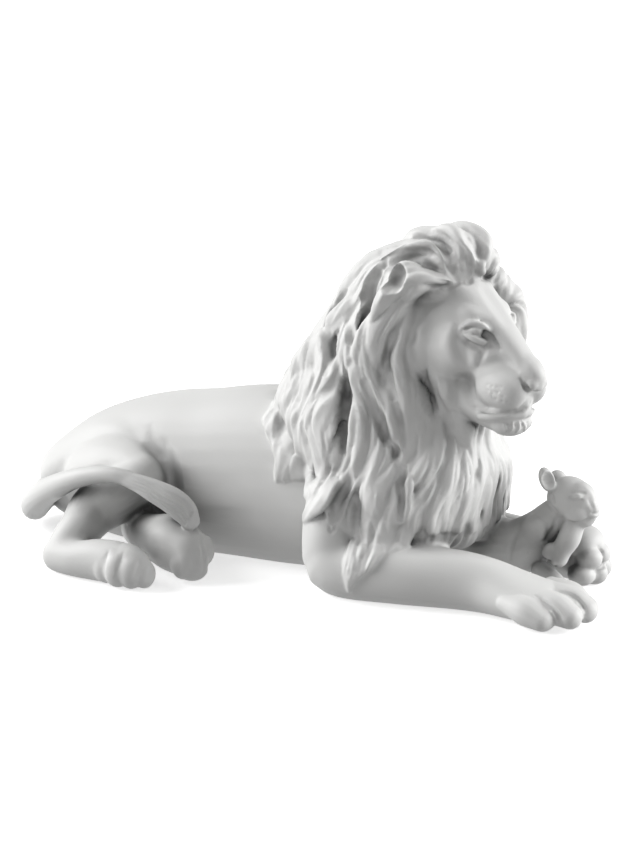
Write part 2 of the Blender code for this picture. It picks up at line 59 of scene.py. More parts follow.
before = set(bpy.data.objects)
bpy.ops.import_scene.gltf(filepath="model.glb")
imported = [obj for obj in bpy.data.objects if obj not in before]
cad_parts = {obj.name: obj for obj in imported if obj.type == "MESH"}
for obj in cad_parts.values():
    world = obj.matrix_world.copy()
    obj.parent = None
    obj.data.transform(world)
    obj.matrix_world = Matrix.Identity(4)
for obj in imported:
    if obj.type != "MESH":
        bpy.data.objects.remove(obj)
SOLID_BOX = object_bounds()
SOLID = "lion_and_cub"

MASS_VOXEL = 2.6  # units, for the big masses
CAST_VOXEL = 1.2  # units, for the whole figure
HEAD_TURN = -15.0  # degrees, towards the near side
HEAD_PIVOT = (105.0, 0.0)
FACE = (92, 0, 238)  # middle of the face, that the hair runs away from
MANE_CENTRE = Vector((100, -2, 150))
LOCK_SEED = 7
LOCK_ROWS = ((-14, 13), (4, 15), (22, 14), (40, 10))  # degrees up from the mane's middle, and locks
LOCK_LENGTHS = (60, 95)  # units, least and most of a generated lock
LOCK_WIDTHS = (24, 38)
LOCK_THICKNESSES = (7, 9)
LOCK_LEAN = 15  # degrees that a generated lock may lean either way
LOCK_STEPS = 10  # along a lock
FACE_HAIR = 45  # units from the face where the hair begins to fall
FALL_RUN = 70  # units over which it turns all the way down
RUN_BLUR = 60  # square units, how softly one lock's run gives way to the next
OPEN_PULL = 1e-7  # of the rough run on the hair, against that of the locks
HAIR_WANDER, WANDER_CELL = 0.35, 34  # radians that the hair wanders, and units between its turns
STRAND_SCALES = ((15, 56), (8, 32), (4.5, 18))  # units, width of a strand and its reach along the hair
STRAND_HEIGHTS = (2.1, 1.0, 0.45)  # units
STRAND_CREST, STRAND_LEVEL = 1.7, 0.8  # of the clouds' spread, where a ridge is cut off and where it is level
HAIR_BOX = np.array([(-60, -125, 0), (220, 125, 345)])  # corners of what can have hair
HAIR_EDGE, HAIR_BLEND = 0.5, 4  # units by which hair lies nearer where it begins, and then to its full share
# How the painted shade in the recesses is worked out: rays, their reach and how strongly closeness darkens.
SHADE_REACH = 0.16  # of the figure's length
SHADE_LIFT = 0.01  # of that reach, between the surface and a ray's start
SHADE_RAYS = 14
SHADE_FACING = 0.15  # least cosine between a ray and the surface's own way
SHADE_LEAST = 0.08  # closeness that still counts as open
SHADE_GAIN = 1.9
GROUND = 1.2  # units, height of the flat underside before it is brought down to the ground
BRIDGE_SLOPE = (0.73, -0.2, 0.68)  # the way the bridge of the nose faces
KEY_WAY, KEY_SPREAD = (-0.86, -0.28, 0.48), 45  # the way to the light, and degrees that it fills
FILL_WAY, FILL_SPREAD = (0.78, 0.5, 0.35), 40
AIM = (0.5985, 0.311, 0.4645)  # where the camera looks, as shares of the solid's box
CAMERA_DISTANCE = 3.477  # of the solid's length
LENS, SENSOR = 105.5, 36  # millimetres


# Tools


def head_point(f, s, z):
    """A place on the turned head: f forward of the neck, s to its far side, z up."""
    a = math.radians(HEAD_TURN)
    x = HEAD_PIVOT[0] + f * math.cos(a) - s * math.sin(a)
    y = HEAD_PIVOT[1] + f * math.sin(a) + s * math.cos(a)
    return (x, y, z)


def curve_through(rows, count):
    """Evenly spaced rows of a smooth curve through the given rows, any number of columns."""
    rows = np.asarray(rows, float)
    ends = np.vstack([2 * rows[0] - rows[1], rows, 2 * rows[-1] - rows[-2]])
    steps = np.linalg.norm(np.diff(rows[:, :3], axis=0), axis=1)
    along = np.r_[0, np.cumsum(steps)]
    at = np.linspace(0, along[-1], count)
    i = np.clip(np.searchsorted(along, at, side="right") - 1, 0, len(rows) - 2)
    t = ((at - along[i]) / steps[i])[:, None]
    a, b, c, d = ends[i], ends[i + 1], ends[i + 2], ends[i + 3]
    return 0.5 * (2 * b + (c - a) * t + (2 * a - 5 * b + 4 * c - d) * t * t + (3 * b - a - 3 * c + d) * t**3)


def ball(bm, at, size, turn=(0, 0, 0), segments=28):
    """An ellipsoid with half sizes, turned by degrees about X, Y and Z."""
    place = Matrix.Translation(at) @ Euler([math.radians(a) for a in turn]).to_matrix().to_4x4()
    place = place @ Matrix.Diagonal((*size, 1))
    bmesh.ops.create_uvsphere(bm, u_segments=segments, v_segments=segments // 2, radius=1, matrix=place)


def skin_over(bm, rings, first, last):
    """Closes a tube of point rings, with a tip at either end."""
    loops = [[bm.verts.new(p) for p in ring] for ring in rings]
    a, b, n = bm.verts.new(first), bm.verts.new(last), len(loops[0])
    for one, two in zip(loops, loops[1:]):
        for j in range(n):
            bm.faces.new((one[j], one[(j + 1) % n], two[(j + 1) % n], two[j]))
    for j in range(n):
        bm.faces.new((a, loops[0][(j + 1) % n], loops[0][j]))
        bm.faces.new((b, loops[-1][j], loops[-1][(j + 1) % n]))


def loft(bm, rows, up=(0, 0, 1), rings=24, sides=20, power=2.0, ups=None):
    """A closed round-ended tube through rows of x, y, z, half width and half thickness along up.

    Gives back its centre line."""
    rows = np.asarray([(*r, r[3]) if len(r) == 4 else r for r in rows], float)
    ups = np.tile(np.asarray(up, float), (len(rows), 1)) if ups is None else np.asarray(ups, float)
    c = curve_through(np.c_[rows, ups], rings)
    p, w, h = c[:, :3], np.maximum(c[:, 3], 1e-3), np.maximum(c[:, 4], 1e-3)
    ahead = np.gradient(p, axis=0)
    ahead /= np.linalg.norm(ahead, axis=1)[:, None]
    side = np.cross(ahead, c[:, 5:8])
    side /= np.maximum(np.linalg.norm(side, axis=1), 1e-9)[:, None]
    rise = np.cross(side, ahead)
    a = np.linspace(0, 2 * math.pi, sides, endpoint=False)
    ca = np.sign(np.cos(a)) * np.abs(np.cos(a)) ** (2 / power)
    sa = np.sign(np.sin(a)) * np.abs(np.sin(a)) ** (2 / power)
    loops = []

    def add(k, ahead_by, share):
        middle = p[k] + ahead[k] * ahead_by
        loops.append(middle + np.outer(ca * w[k] * share, side[k]) + np.outer(sa * h[k] * share, rise[k]))

    for degrees in (70, 45, 20):
        q = math.radians(degrees)
        add(0, -min(w[0], h[0]) * math.sin(q), math.cos(q))
    for k in range(rings):
        add(k, 0, 1)
    for degrees in (20, 45, 70):
        q = math.radians(degrees)
        add(-1, min(w[-1], h[-1]) * math.sin(q), math.cos(q))
    skin_over(bm, loops, p[0] - ahead[0] * min(w[0], h[0]), p[-1] + ahead[-1] * min(w[-1], h[-1]))
    return p


def stack(bm, rows, rings=36, sides=48):
    """A closed form of level rings through rows of z, centre x and y, half length, half width and power."""
    a = np.linspace(0, 2 * math.pi, sides, endpoint=False)
    ca, sa = np.cos(a), np.sin(a)
    loops = []
    for _, _, z, x, y, length, width, power in curve_through([(0, 0, *r) for r in rows], rings):
        xs = x + length * np.sign(ca) * np.abs(ca) ** (2 / power)
        ys = y + width * np.sign(sa) * np.abs(sa) ** (2 / power)
        loops.append(np.c_[xs, ys, np.full(sides, z)])
    skin_over(bm, loops, loops[0].mean(0), loops[-1].mean(0))


def made(name, *makers):
    """One mesh object of what the makers add."""
    bm = bmesh.new()
    for maker in makers:
        maker(bm)
    bmesh.ops.recalc_face_normals(bm, faces=bm.faces)
    mesh = bpy.data.meshes.new(name)
    bm.to_mesh(mesh)
    bm.free()
    piece = bpy.data.objects.new(name, mesh)
    bpy.context.scene.collection.objects.link(piece)
    return piece


def copy_of(piece):
    """A maker that adds a piece's mesh."""
    return lambda bm: bm.from_mesh(piece.data)


def tree_of(*makers):
    """A search tree over what the makers add."""
    bm = bmesh.new()
    for maker in makers:
        maker(bm)
    tree = BVHTree.FromBMesh(bm)
    bm.free()
    return tree


def only(*pieces):
    """Selects these pieces alone, the first one active."""
    bpy.ops.object.select_all(action="DESELECT")
    for piece in pieces:
        piece.select_set(True)
    bpy.context.view_layer.objects.active = pieces[0]


def finished(piece, kind, **settings):
    """Adds a modifier of that kind and applies it."""
    only(piece)
    modifier = piece.modifiers.new(kind, kind)
    for key, value in settings.items():
        setattr(modifier, key, value)
    bpy.ops.object.modifier_apply(modifier=modifier.name)


def fused(pieces, voxel, smooth):
    """Joins closed pieces into one skin."""
    only(*pieces)
    if len(pieces) > 1:
        bpy.ops.object.join()
    finished(pieces[0], "REMESH", mode="VOXEL", voxel_size=voxel)
    finished(pieces[0], "SMOOTH", factor=0.5, iterations=smooth)
    return pieces[0]


def points_of(piece):
    """The mesh's points and normals as arrays."""
    mesh = piece.data
    points = np.empty(len(mesh.vertices) * 3, np.float32)
    normals = np.empty_like(points)
    mesh.vertices.foreach_get("co", points)
    mesh.vertices.foreach_get("normal", normals)
    return points.reshape(-1, 3).astype(float), normals.reshape(-1, 3).astype(float)


def put_points(piece, points):
    piece.data.vertices.foreach_set("co", points.astype(np.float32).ravel())
    piece.data.update()


def carve(piece, strokes, skin=None):
    """Presses strokes into the mesh, or raises them: each is points of x, y, z and radius, then a depth.

    A stroke is first laid on the surface. It works along the bare skin's normals where a skin is given, which
    keeps a deep one from folding the hair over itself, and along the mesh's own otherwise."""
    surface = Skin(piece)
    points, normals = points_of(piece)
    for rows, depth in strokes:
        rows = [(*surface.snap(row[:3])[0], row[3], *(skin or surface).snap(row[:3])[1]) for row in rows]
        rows = np.asarray(rows, float)
        if len(rows) > 1:
            length = np.linalg.norm(np.diff(rows[:, :3], axis=0), axis=1).sum()
            rows = curve_through(rows, max(4, int(length / (0.4 * rows[:, 3].mean()))))
        reach = rows[:, 3].max()
        low, high = rows[:, :3].min(0) - reach, rows[:, :3].max(0) + reach
        near = np.nonzero(((points > low) & (points < high)).all(1))[0]
        if not len(near):
            continue
        best, ways, share = np.full(len(near), 9.0), normals[near], np.ones(len(near))
        for a, b in list(zip(rows, rows[1:])) or [(rows[0], rows[0])]:
            run = b[:3] - a[:3]
            t = np.clip((points[near] - a[:3]) @ run / max(run @ run, 1e-9), 0, 1)
            width = a[3] + t * (b[3] - a[3])
            away = np.linalg.norm(points[near] - a[:3] - t[:, None] * run, axis=1) / width
            closer = away < best
            best[closer] = away[closer]
            share[closer] = (width[closer] / reach) ** 1.5
            if skin:
                ways[closer] = a[4:7] + t[closer, None] * (b[4:7] - a[4:7])
        points[near] += ways * (np.clip(1 - best**2, 0, 1) ** 2 * share * depth)[:, None]
    put_points(piece, points)


def evened(piece, values, times, share=0.6):
    """Values of the mesh's points, drawn towards those of their neighbours."""
    mesh = piece.data
    edges = np.empty(len(mesh.edges) * 2, np.int32)
    mesh.edges.foreach_get("vertices", edges)
    a, b = edges.reshape(-1, 2).T
    count = np.maximum(np.bincount(edges, minlength=len(values)), 1)
    for _ in range(times):
        spread = np.bincount(a, values[b], len(values)) + np.bincount(b, values[a], len(values))
        values = (1 - share) * values + share * spread / count
    return values


def scoop(piece, centre, radii, turn, way):
    """Presses an ellipsoid into the mesh: what lies inside it moves the given way to its far wall."""
    points, _ = points_of(piece)
    axes = np.array(Euler([math.radians(a) for a in turn]).to_matrix())
    way = np.asarray(way, float) / np.linalg.norm(way)
    q = (points - centre) @ axes / radii
    d = way @ axes / radii
    deep = (q * q).sum(1)
    inside = np.nonzero(deep < 1)[0]
    b, a = q[inside] @ d, d @ d
    t = (-b + np.sqrt(b * b + a * (1 - deep[inside]))) / a
    points[inside] += t[:, None] * way
    share = np.clip((1.6 - deep) / 0.5, 0, 1)[:, None]
    smooth = np.stack([evened(piece, points[:, axis], 5) for axis in range(3)], 1)
    put_points(piece, points + share * (smooth - points))


# Masses


def torso(bm):
    rows = [
        (-304, 12, 26, 16, 22), (-288, 8, 36, 34, 35), (-262, 4, 46, 48, 46), (-222, 0, 56, 55, 63),
        (-180, 0, 62, 60, 74), (-140, 0, 66, 61, 80), (-100, 0, 71, 61, 81), (-60, 0, 76, 62, 84),
        (-20, 0, 79, 63, 85), (40, 0, 82, 62, 82), (100, 0, 80, 56, 70), (135, 0, 76, 40, 52),
    ]
    loft(bm, rows, rings=40, sides=32, power=2.2)


def hind_legs(bm):
    """The near thigh to its knee, the calf back to the hock, the foot forward, and the far foot beside it."""
    thigh = [(-236, -14, 48, 34, 36), (-214, -32, 58, 40, 40), (-188, -48, 68, 38, 40)]
    loft(bm, [*thigh, (-160, -62, 74, 30, 34), (-140, -74, 76, 22, 26)])
    hip = [(-232, -12, 68, 32, 38), (-204, -24, 80, 32, 40), (-172, -34, 82, 26, 38)]
    loft(bm, [*hip, (-146, -36, 72, 14, 24)])
    calf = [(-142, -88, 74, 22, 22), (-160, -102, 61, 25, 26), (-171, -114, 51, 24, 25)]
    loft(bm, [*calf, (-172, -130, 41, 21, 21), (-178, -147, 26, 18, 18)])
    foot = [(-184, -156, 17, 14, 16), (-160, -160, 18, 15, 17), (-134, -160, 21, 17, 20)]
    loft(bm, [*foot, (-112, -160, 22, 19, 20)])
    far = [(-158, -56, 24, 20, 22), (-134, -84, 27, 17, 20), (-110, -100, 30, 20, 23)]
    loft(bm, [*far, (-88, -109, 31, 23, 27), (-70, -113, 27, 21, 25)])


def fore_legs(bm):
    near = [(62, -60, 74, 30, 40), (64, -78, 44, 28, 34), (76, -86, 28, 27, 28), (133, -79, 27, 26, 27)]
    near += [(176, -68, 27, 26, 27), (208, -63, 25, 26, 25), (238, -63, 21, 31, 21), (264, -64, 18, 34, 18)]
    far = [(62, 60, 74, 30, 40), (66, 78, 42, 28, 34), (76, 84, 27, 25, 27), (133, 80, 25, 23, 25)]
    far += [(185, 74, 24, 22, 24), (212, 70, 24, 24, 24), (238, 66, 24, 26, 24)]
    for rows in (near, far):
        loft(bm, rows, rings=40, sides=24)


def mane_mass(bm):
    rows = [
        (322, 134, -9, 22, 23, 2), (310, 128, -8, 39, 34, 2.1), (295, 115, -7, 55, 42, 2.1),
        (273, 103, -5, 64, 50, 2.1), (248, 91, -3, 67, 57, 2.1), (216, 74, -2, 69, 66, 2.2),
        (184, 72, -1, 84, 72, 2.3), (150, 75, 0, 95, 79, 2.1), (112, 98, 0, 88, 84, 2.1),
        (78, 120, 0, 63, 82, 2.1), (56, 127, 0, 57, 74, 2.1), (44, 130, 0, 45, 60, 2.1),
    ]
    stack(bm, rows)
    ball(bm, head_point(41, 6, 303), (35, 32, 26), (0, 0, HEAD_TURN))
    ball(bm, head_point(18, 2, 303), (30, 29, 24), (0, 0, HEAD_TURN))
    ball(bm, head_point(46, 34, 278), (21, 21, 20), (0, 0, HEAD_TURN))
    throat = [(*head_point(42, 0, 208), 40, 30), (*head_point(48, 0, 182), 38, 31), (144, -6, 146, 42, 34)]
    loft(bm, throat, up=(1, 0, 0))
    ball(bm, head_point(52, 49, 238), (30, 26, 44), (0, 0, HEAD_TURN))


def skull(bm):
    h = head_point
    ball(bm, h(44, 0, 250), (44, 39, 41), (0, 0, HEAD_TURN))
    bridge = [(*h(58, 0, 276), 25, 16), (*h(74, 0, 264), 22, 15), (*h(97, 0, 244), 16, 14)]
    bridge += [(*h(111, 0, 231), 14, 14), (*h(127, 0, 217), 13, 12), (*h(136, 0, 209), 12.5, 11)]
    loft(bm, bridge, up=BRIDGE_SLOPE, power=2.8)
    muzzle = [(*h(54, 0, 232), 37, 36), (*h(80, 0, 224), 30, 27), (*h(103, 0, 210), 26, 23)]
    loft(bm, [*muzzle, (*h(117, 0, 201), 22, 19)], up=(0.5, -0.13, 0.85))
    jaw = [(*h(46, 0, 200), 27, 26), (*h(76, 0, 182), 26, 20), (*h(99, 0, 171), 23, 15)]
    loft(bm, [*jaw, (*h(110, 0, 167), 19, 13)])
    for s in (-1, 1):
        ball(bm, h(58, s * 24, 230), (30, 17, 30), (0, 0, HEAD_TURN))
        ball(bm, h(78, s * 17, 256), (17, 12, 13), (0, 14, HEAD_TURN))
        ball(bm, h(113, s * 13, 198), (28, 16.5, 19), (0, 0, HEAD_TURN))
        ball(bm, h(32, s * 37, 230), (20, 14, 38), (0, 0, HEAD_TURN))


# Forms


def face(bm):
    """Eyes between heavy lids, nose, muzzle pads, chin and lower lip."""
    h = head_point
    upper = [(79, 29, 246, 2), (85, 28.5, 251.5, 2.5), (91, 26, 254, 2.6)]
    upper += [(97, 21, 252.5, 2.4), (101, 16, 247, 2)]
    lower = [(78, 28, 245.5, 2.2), (85, 27, 243.5, 3.8), (92, 24.5, 240.5, 4.4), (99, 20, 236.5, 3.4)]
    lip = [(98, 22, 172, 4), (111, 20, 174.5, 6), (122, 13, 176.5, 6.5), (128, 3, 177.5, 6.5)]
    for s in (-1, 1):
        ball(bm, h(90, s * 20.5, 248.5), (8.5, 8, 6.5), (0, 0, HEAD_TURN))
        for rows in (upper, lower):
            loft(bm, [(*h(f, s * across, z), r) for f, across, z, r in rows], rings=16, sides=12)
        ball(bm, h(118, s * 13.5, 197), (21, 15, 17.5), (0, 0, HEAD_TURN))
        ball(bm, h(142, s * 6, 205), (6, 6, 6))
    nose = [(*h(127, 0, 223), 10, 8), (*h(137, 0, 217), 11, 8), (*h(143, 0, 210), 9, 7)]
    loft(bm, [*nose, (*h(143, 0, 202), 6, 5)], up=BRIDGE_SLOPE, rings=12, sides=14)
    ball(bm, h(113, 0, 166), (17, 20, 13), (0, 0, HEAD_TURN))
    ball(bm, h(125, 0, 188), (10, 10, 13), (0, 0, HEAD_TURN))
    for s in (-1, 1):
        loft(bm, [(*h(f, s * across, z), r) for f, across, z, r in lip], rings=14, sides=12)


def ears(bm):
    for s in (-1, 1):
        ball(bm, head_point(31, s * 44, 285), (20, 13, 19), (0, 0, HEAD_TURN - 10 * s))


def near_paw(bm):
    toes = [(262, -88, 15, 24, 16, 16), (281, -75, 17, 24, 14, 17)]
    toes += [(288, -55, 18, 22, 14, 17), (279, -38, 17, 19, 13, 16)]
    for x, y, z, long, wide, tall in toes:
        rows = [(x - 20, y + 4, z + 6, wide * 0.8, tall * 0.6), (x, y, z + 2, wide, tall * 0.85)]
        loft(bm, [*rows, (x + long * 0.65, y - 2, z - 3, wide * 0.85, tall * 0.65)], rings=12, sides=14)


def far_paw(bm):
    """The paw under the cub's chin: a broad knuckle over toes that curl down."""
    for at, size in (
        ((246, 62, 38), (19, 23, 15)),
        ((257, 50, 27), (13, 12, 11)),
        ((259, 66, 27), (12, 12, 12)),
        ((253, 44, 12), (13, 12, 10)),
        ((258, 59, 11), (14, 11, 11)),
        ((256, 75, 13), (13, 11, 12)),
    ):
        ball(bm, at, size)


def hind_paws(bm):
    for at, size in (
        ((-104, -160, 21), (25, 17, 20)),
        ((-121, -166, 19), (14, 13, 16)),
        ((-107, -169, 19), (14, 13, 17)),
        ((-94, -167, 18), (13, 13, 16)),
        ((-84, -160, 15), (9, 12, 13)),
        ((-58, -104, 27), (11, 12, 15)),
        ((-56, -116, 22), (11, 10, 16)),
        ((-66, -126, 20), (12, 9, 16)),
        ((-62, -116, 12), (15, 14, 11)),
    ):
        ball(bm, at, size)


def tail(bm):
    rows = [
        (-262, 22, 60, 24), (-290, 22, 44, 19), (-304, 2, 28, 15), (-300, -26, 20, 14), (-282, -56, 26, 14),
        (-262, -78, 40, 14), (-232, -106, 58, 13), (-204, -124, 73, 11.5), (-176, -134, 86, 9.5),
        (-150, -137, 94, 8.2), (-132, -137, 96, 7.5), (-118, -134, 94, 7.5),
    ]
    loft(bm, rows, rings=60, sides=16)
    tuft = [(-122, -135, 94, 7, 7), (-106, -133, 90, 9, 8), (-92, -131, 85, 11, 9)]
    tuft += [(-76, -126, 77, 12.5, 10), (-66, -121, 67, 12, 10), (-62, -117, 57, 9, 8)]
    ups = [(0, -0.5, 1), (0.1, -0.6, 0.9), (0.3, -0.7, 0.8)]
    ups += [(0.4, -0.8, 0.7), (0.6, -0.8, 0.5), (0.7, -0.8, 0.3)]
    loft(bm, tuft, ups=ups)


def cub(bm):
    """The cub asleep between the fore legs, its chin on the far paw."""
    body = [(146, 20, 24, 18, 22), (176, 24, 31, 22, 28), (200, 27, 36, 21, 26), (218, 30, 50, 18, 22)]
    loft(bm, [*body, (232, 31, 66, 16, 18)])
    ball(bm, (218, 21, 54), (16, 12, 16))
    ball(bm, (246, 31, 86), (22, 20, 20), (0, 10, -15))
    ball(bm, (256, 28, 88), (16, 15, 16), (0, 20, -15))
    loft(bm, [(256, 29, 82, 15, 14), (265, 27, 79, 12, 12), (268, 26, 78, 9, 10)], rings=10, sides=14)
    ball(bm, (262, 26, 70), (10, 10, 7))
    ball(bm, (257, 19, 76), (12, 8, 9))
    ball(bm, (259, 16.5, 94), (6, 4, 4), (0, 20, -30))
    foreleg = [(254, 22, 64, 10), (252, 17, 53, 10.5), (247, 14, 43, 9.5), (245, 12, 35, 8.5)]
    loft(bm, foreleg, rings=14, sides=14)
    ball(bm, (237, 11, 41), (9, 7, 8))
    loft(bm, [(226, 16, 20, 10, 9), (240, 12, 15, 8, 8), (254, 10, 9, 5, 5)], rings=10, sides=12)
    for x, y, z, turn in ((230, 15, 105, 35), (226, 47, 94, -60)):
        ball(bm, (x, y, z), (7, 10, 12), (0, -20, turn))


# Hair


class Skin:
    """The bare figure, that the locks lie on."""

    def __init__(self, piece):
        self.tree = BVHTree.FromObject(piece, bpy.context.evaluated_depsgraph_get())
        self.runs = []

    def snap(self, p):
        return self.tree.find_nearest(Vector(p))[:2]

    def out(self, around, rise):
        """The skin in a direction from the middle of the mane, in degrees."""
        a, e = math.radians(around), math.radians(rise)
        way = Vector((math.cos(a) * math.cos(e), math.sin(a) * math.cos(e), math.sin(e)))
        return self.tree.ray_cast(MANE_CENTRE, way)[0]


def lock(bm, skin, guide, width, thick, lean=0.0, tip=0.1, power=1.7, rings=26):
    """One lock of hair that tapers to its tip, lying on the skin along the guide points."""
    ups, rows, last = [], [], LOCK_STEPS
    for k, p in enumerate(curve_through(guide, last + 1)):
        t = k / last
        at, normal = skin.snap(p)
        rise = thick * (0.30 * math.sin(math.pi * t) ** 0.8 - 0.25 * (1 - t) ** 2)
        if t < 0.4:
            full = 0.5 + 0.5 * math.sin(t / 0.4 * math.pi / 2)
        else:
            full = tip + (1 - tip) * math.cos((t - 0.4) / 0.6 * math.pi / 2) ** 0.8
        rows.append((*(at + normal * rise), width * 0.5 * full, thick * 0.5 * (0.5 + 0.5 * full)))
        ups.append(normal)
    ups = [(ups[max(0, k - 1)] + n + ups[min(last, k + 1)]).normalized() for k, n in enumerate(ups)]
    leaned = []
    for k, n in enumerate(ups):
        ahead = Vector(rows[min(last, k + 1)][:3]) - Vector(rows[max(0, k - 1)][:3])
        leaned.append(n + ahead.normalized().cross(n) * math.tan(math.radians(lean)))
    skin.runs.append(loft(bm, rows, rings=rings, power=power, ups=leaned))


def flow(p, normal):
    """The way the hair runs at a place: away from the face, then down."""
    away = p - Vector(head_point(*FACE))
    fall = min(1.0, max(0.0, (away.length - FACE_HAIR) / FALL_RUN))
    way = away.normalized() * (1 - fall) + Vector((-0.12, 0.1 if p.y > 0 else -0.1, -1)) * fall
    if p.z > 285:
        way += Vector((-0.6, 0, 0))
    return (way - normal * way.dot(normal)).normalized()


def in_mane(p):
    """Whether a place lies above the mane's edge on the back, the shoulders and the chest."""
    back = -30 + 48 * (p.y / 85) ** 2
    edge = 90 - 1.2 * max(0, p.x - 20)
    return p.x > back and p.z > max(edge, 54 if p.x > 110 else 10)


def run_of_hair(skin, start, length, wave, phase, swing=80, step=6):
    """A wavy line down the flow from a start."""
    p, normal = skin.snap(start)
    points = [p]
    for k in range(int(length / step)):
        way = flow(p, normal)
        turn = wave * math.sin(2 * math.pi * k * step / swing + phase)
        q, normal = skin.snap(p + (way * math.cos(turn) + normal.cross(way) * math.sin(turn)) * step)
        if (q - p).length < 0.3 * step or not in_mane(q):
            break
        points.append(q)
        p = q
    return points


# Guide points on the near side, width and thickness. The far side has the same locks, mirrored.
NEAR_LOCKS = [
    ([(30, -50, 228), (27, -54, 198), (37, -67, 171), (33, -70, 140), (30, -64, 112), (44, -80, 95),
      (62, -98, 79)], 26, 11),
    ([(20, -44, 196), (17, -52, 176), (24, -62, 150), (24, -64, 123), (22, -66, 104)], 20, 9),
    ([(6, -50, 160), (7, -54, 140), (8, -54, 122), (6, -59, 106), (5, -62, 90)], 14, 9),
    ([(44, -56, 222), (49, -63, 204), (55, -69, 182), (56, -75, 158), (54, -77, 137), (59, -78, 115),
      (69, -91, 92), (77, -101, 67)], 28, 13),
    ([(81, -70, 197), (86, -74, 174), (92, -78, 150), (96, -82, 126), (85, -81, 94), (77, -99, 69)], 24, 13),
    ([(97, -73, 172), (106, -77, 146), (113, -82, 123), (117, -83, 101), (110, -86, 76), (104, -99, 48),
      (98, -108, 14)], 34, 15),
    ([(118, -74, 150), (128, -77, 130), (136, -81, 106), (133, -82, 85), (124, -84, 64), (118, -97, 44),
      (106, -107, 24)], 18, 12),
    ([(138, -76, 128), (145, -79, 104), (144, -80, 84), (138, -80, 62), (128, -92, 46)], 18, 10),
    ([(148, -72, 132), (152, -77, 112), (149, -78, 90), (147, -77, 68)], 17, 9),
    ([(150, -56, 160), (158, -66, 134), (162, -71, 108), (160, -72, 86), (161, -69, 66)], 20, 10),
    ([(152, -44, 184), (160, -48, 160), (170, -54, 134), (172, -60, 108), (175, -63, 86),
      (173, -61, 66)], 21, 10),
    ([(160, -34, 176), (168, -36, 156), (178, -40, 130), (185, -48, 104), (184, -50, 84),
      (183, -51, 64)], 21, 10),
    ([(168, -16, 170), (178, -18, 148), (190, -24, 122), (193, -32, 96), (192, -34, 76),
      (190, -34, 62)], 20, 10),
    ([(176, -2, 166), (186, -4, 146), (198, -10, 120), (200, -14, 96), (200, -12, 76),
      (198, -12, 62)], 20, 10),
    ([(66, -44, 262), (56, -50, 244), (46, -55, 225), (53, -64, 206)], 20, 11),
    ([(82, -46, 276), (77, -56, 252), (70, -62, 228), (73, -67, 206), (84, -70, 190),
      (92, -71, 178)], 15, 11),
    ([(154, -42, 275), (140, -49, 279), (126, -56, 274), (112, -62, 260), (100, -63, 240), (90, -64, 220),
      (91, -69, 200), (102, -71, 178), (120, -72, 156), (133, -74, 132), (139, -77, 116)], 25, 15),
    ([(131, -51, 266), (120, -55, 246), (115, -58, 224), (121, -59, 200), (132, -59, 176), (143, -60, 156),
      (146, -66, 138), (142, -74, 120)], 27, 15),
    ([(157, -36, 287), (147, -44, 289), (137, -49, 290), (127, -54, 287), (116, -58, 280), (107, -60, 270),
      (100, -62, 258), (94, -62, 244)], 15, 27),
]

# Runs of hair over the brow and the crown, that only steer the strands.
NEAR_RUNS = [
    [(178, -12, 288), (177, -20, 299), (170, -23, 311), (158, -21, 320), (140, -18, 327), (118, -20, 325)],
    [(155, -39, 291), (152, -40, 304), (147, -36, 314), (134, -36, 318), (114, -36, 313), (92, -38, 300)],
    [(167, -31, 290), (163, -32, 302), (155, -30, 311), (140, -28, 320)],
    [(180, -2, 292), (180, -4, 306), (172, -4, 320), (152, -6, 330), (126, -6, 333), (96, -6, 318)],
    [(118, -20, 325), (92, -24, 312), (62, -24, 296), (34, -24, 272), (14, -24, 244), (0, -24, 214),
     (-16, -24, 184)],
    [(96, -6, 318), (62, -4, 300), (32, -4, 276), (12, -4, 250), (-8, -4, 216), (-24, -4, 182)],
    [(92, -38, 300), (66, -42, 286), (44, -42, 262), (26, -42, 236), (14, -46, 208), (4, -50, 180)],
]


def mirrored(p):
    """A near point's twin on the far side, turned with the head higher up."""
    a = math.radians(2 * HEAD_TURN * min(1, max(0, (p[2] - 170) / 80)))
    x, y = p[0] - HEAD_PIVOT[0], -p[1]
    return (HEAD_PIVOT[0] + x * math.cos(a) - y * math.sin(a), x * math.sin(a) + y * math.cos(a), p[2])


def mane(bm, skin):
    """Rows of generated locks all round, then the long locks that give the mane its folds."""
    rnd = random.Random(LOCK_SEED)
    for rise, count in LOCK_ROWS:
        for k in range(count):
            around = 35 + 290 * (k + rnd.uniform(-0.3, 0.3)) / count
            start = skin.out(around, rise + rnd.uniform(-5, 5))
            if start is None or not in_mane(start):
                continue
            line = run_of_hair(skin, start, rnd.uniform(*LOCK_LENGTHS), 0.5, rnd.uniform(0, 6.28))
            if len(line) > 6:
                width, thick = rnd.uniform(*LOCK_WIDTHS), rnd.uniform(*LOCK_THICKNESSES)
                lock(bm, skin, line, width, thick, rnd.uniform(-LOCK_LEAN, LOCK_LEAN))
    for guide, width, thick in NEAR_LOCKS:
        tip = 0.5 if guide[0][2] < 195 and guide[0][0] > 145 else 0.1
        lock(bm, skin, guide, width * 1.2, thick * 0.85, tip=tip)
        lock(bm, skin, [mirrored(p) for p in guide], width * rnd.uniform(1.1, 1.35), thick * 0.85, tip=tip)
    for guide in NEAR_RUNS:
        skin.runs.append(np.array([skin.snap(p)[0] for p in guide]))
        skin.runs.append(np.array([skin.snap(mirrored(p))[0] for p in guide]))


def between_cells(cells, q):
    """Values between the cells of a grid at places in cells, as if the grid repeated."""
    whole = np.floor(q).astype(int)
    t = q - whole
    total = 0
    for corner in np.ndindex(2, 2, 2):
        share = np.prod(np.where(corner, t, 1 - t), axis=1)
        a, b, c = ((whole + corner) % cells.shape[:3]).T
        total = total + (share[:, None] * cells[a, b, c] if cells.ndim == 4 else share * cells[a, b, c])
    return total


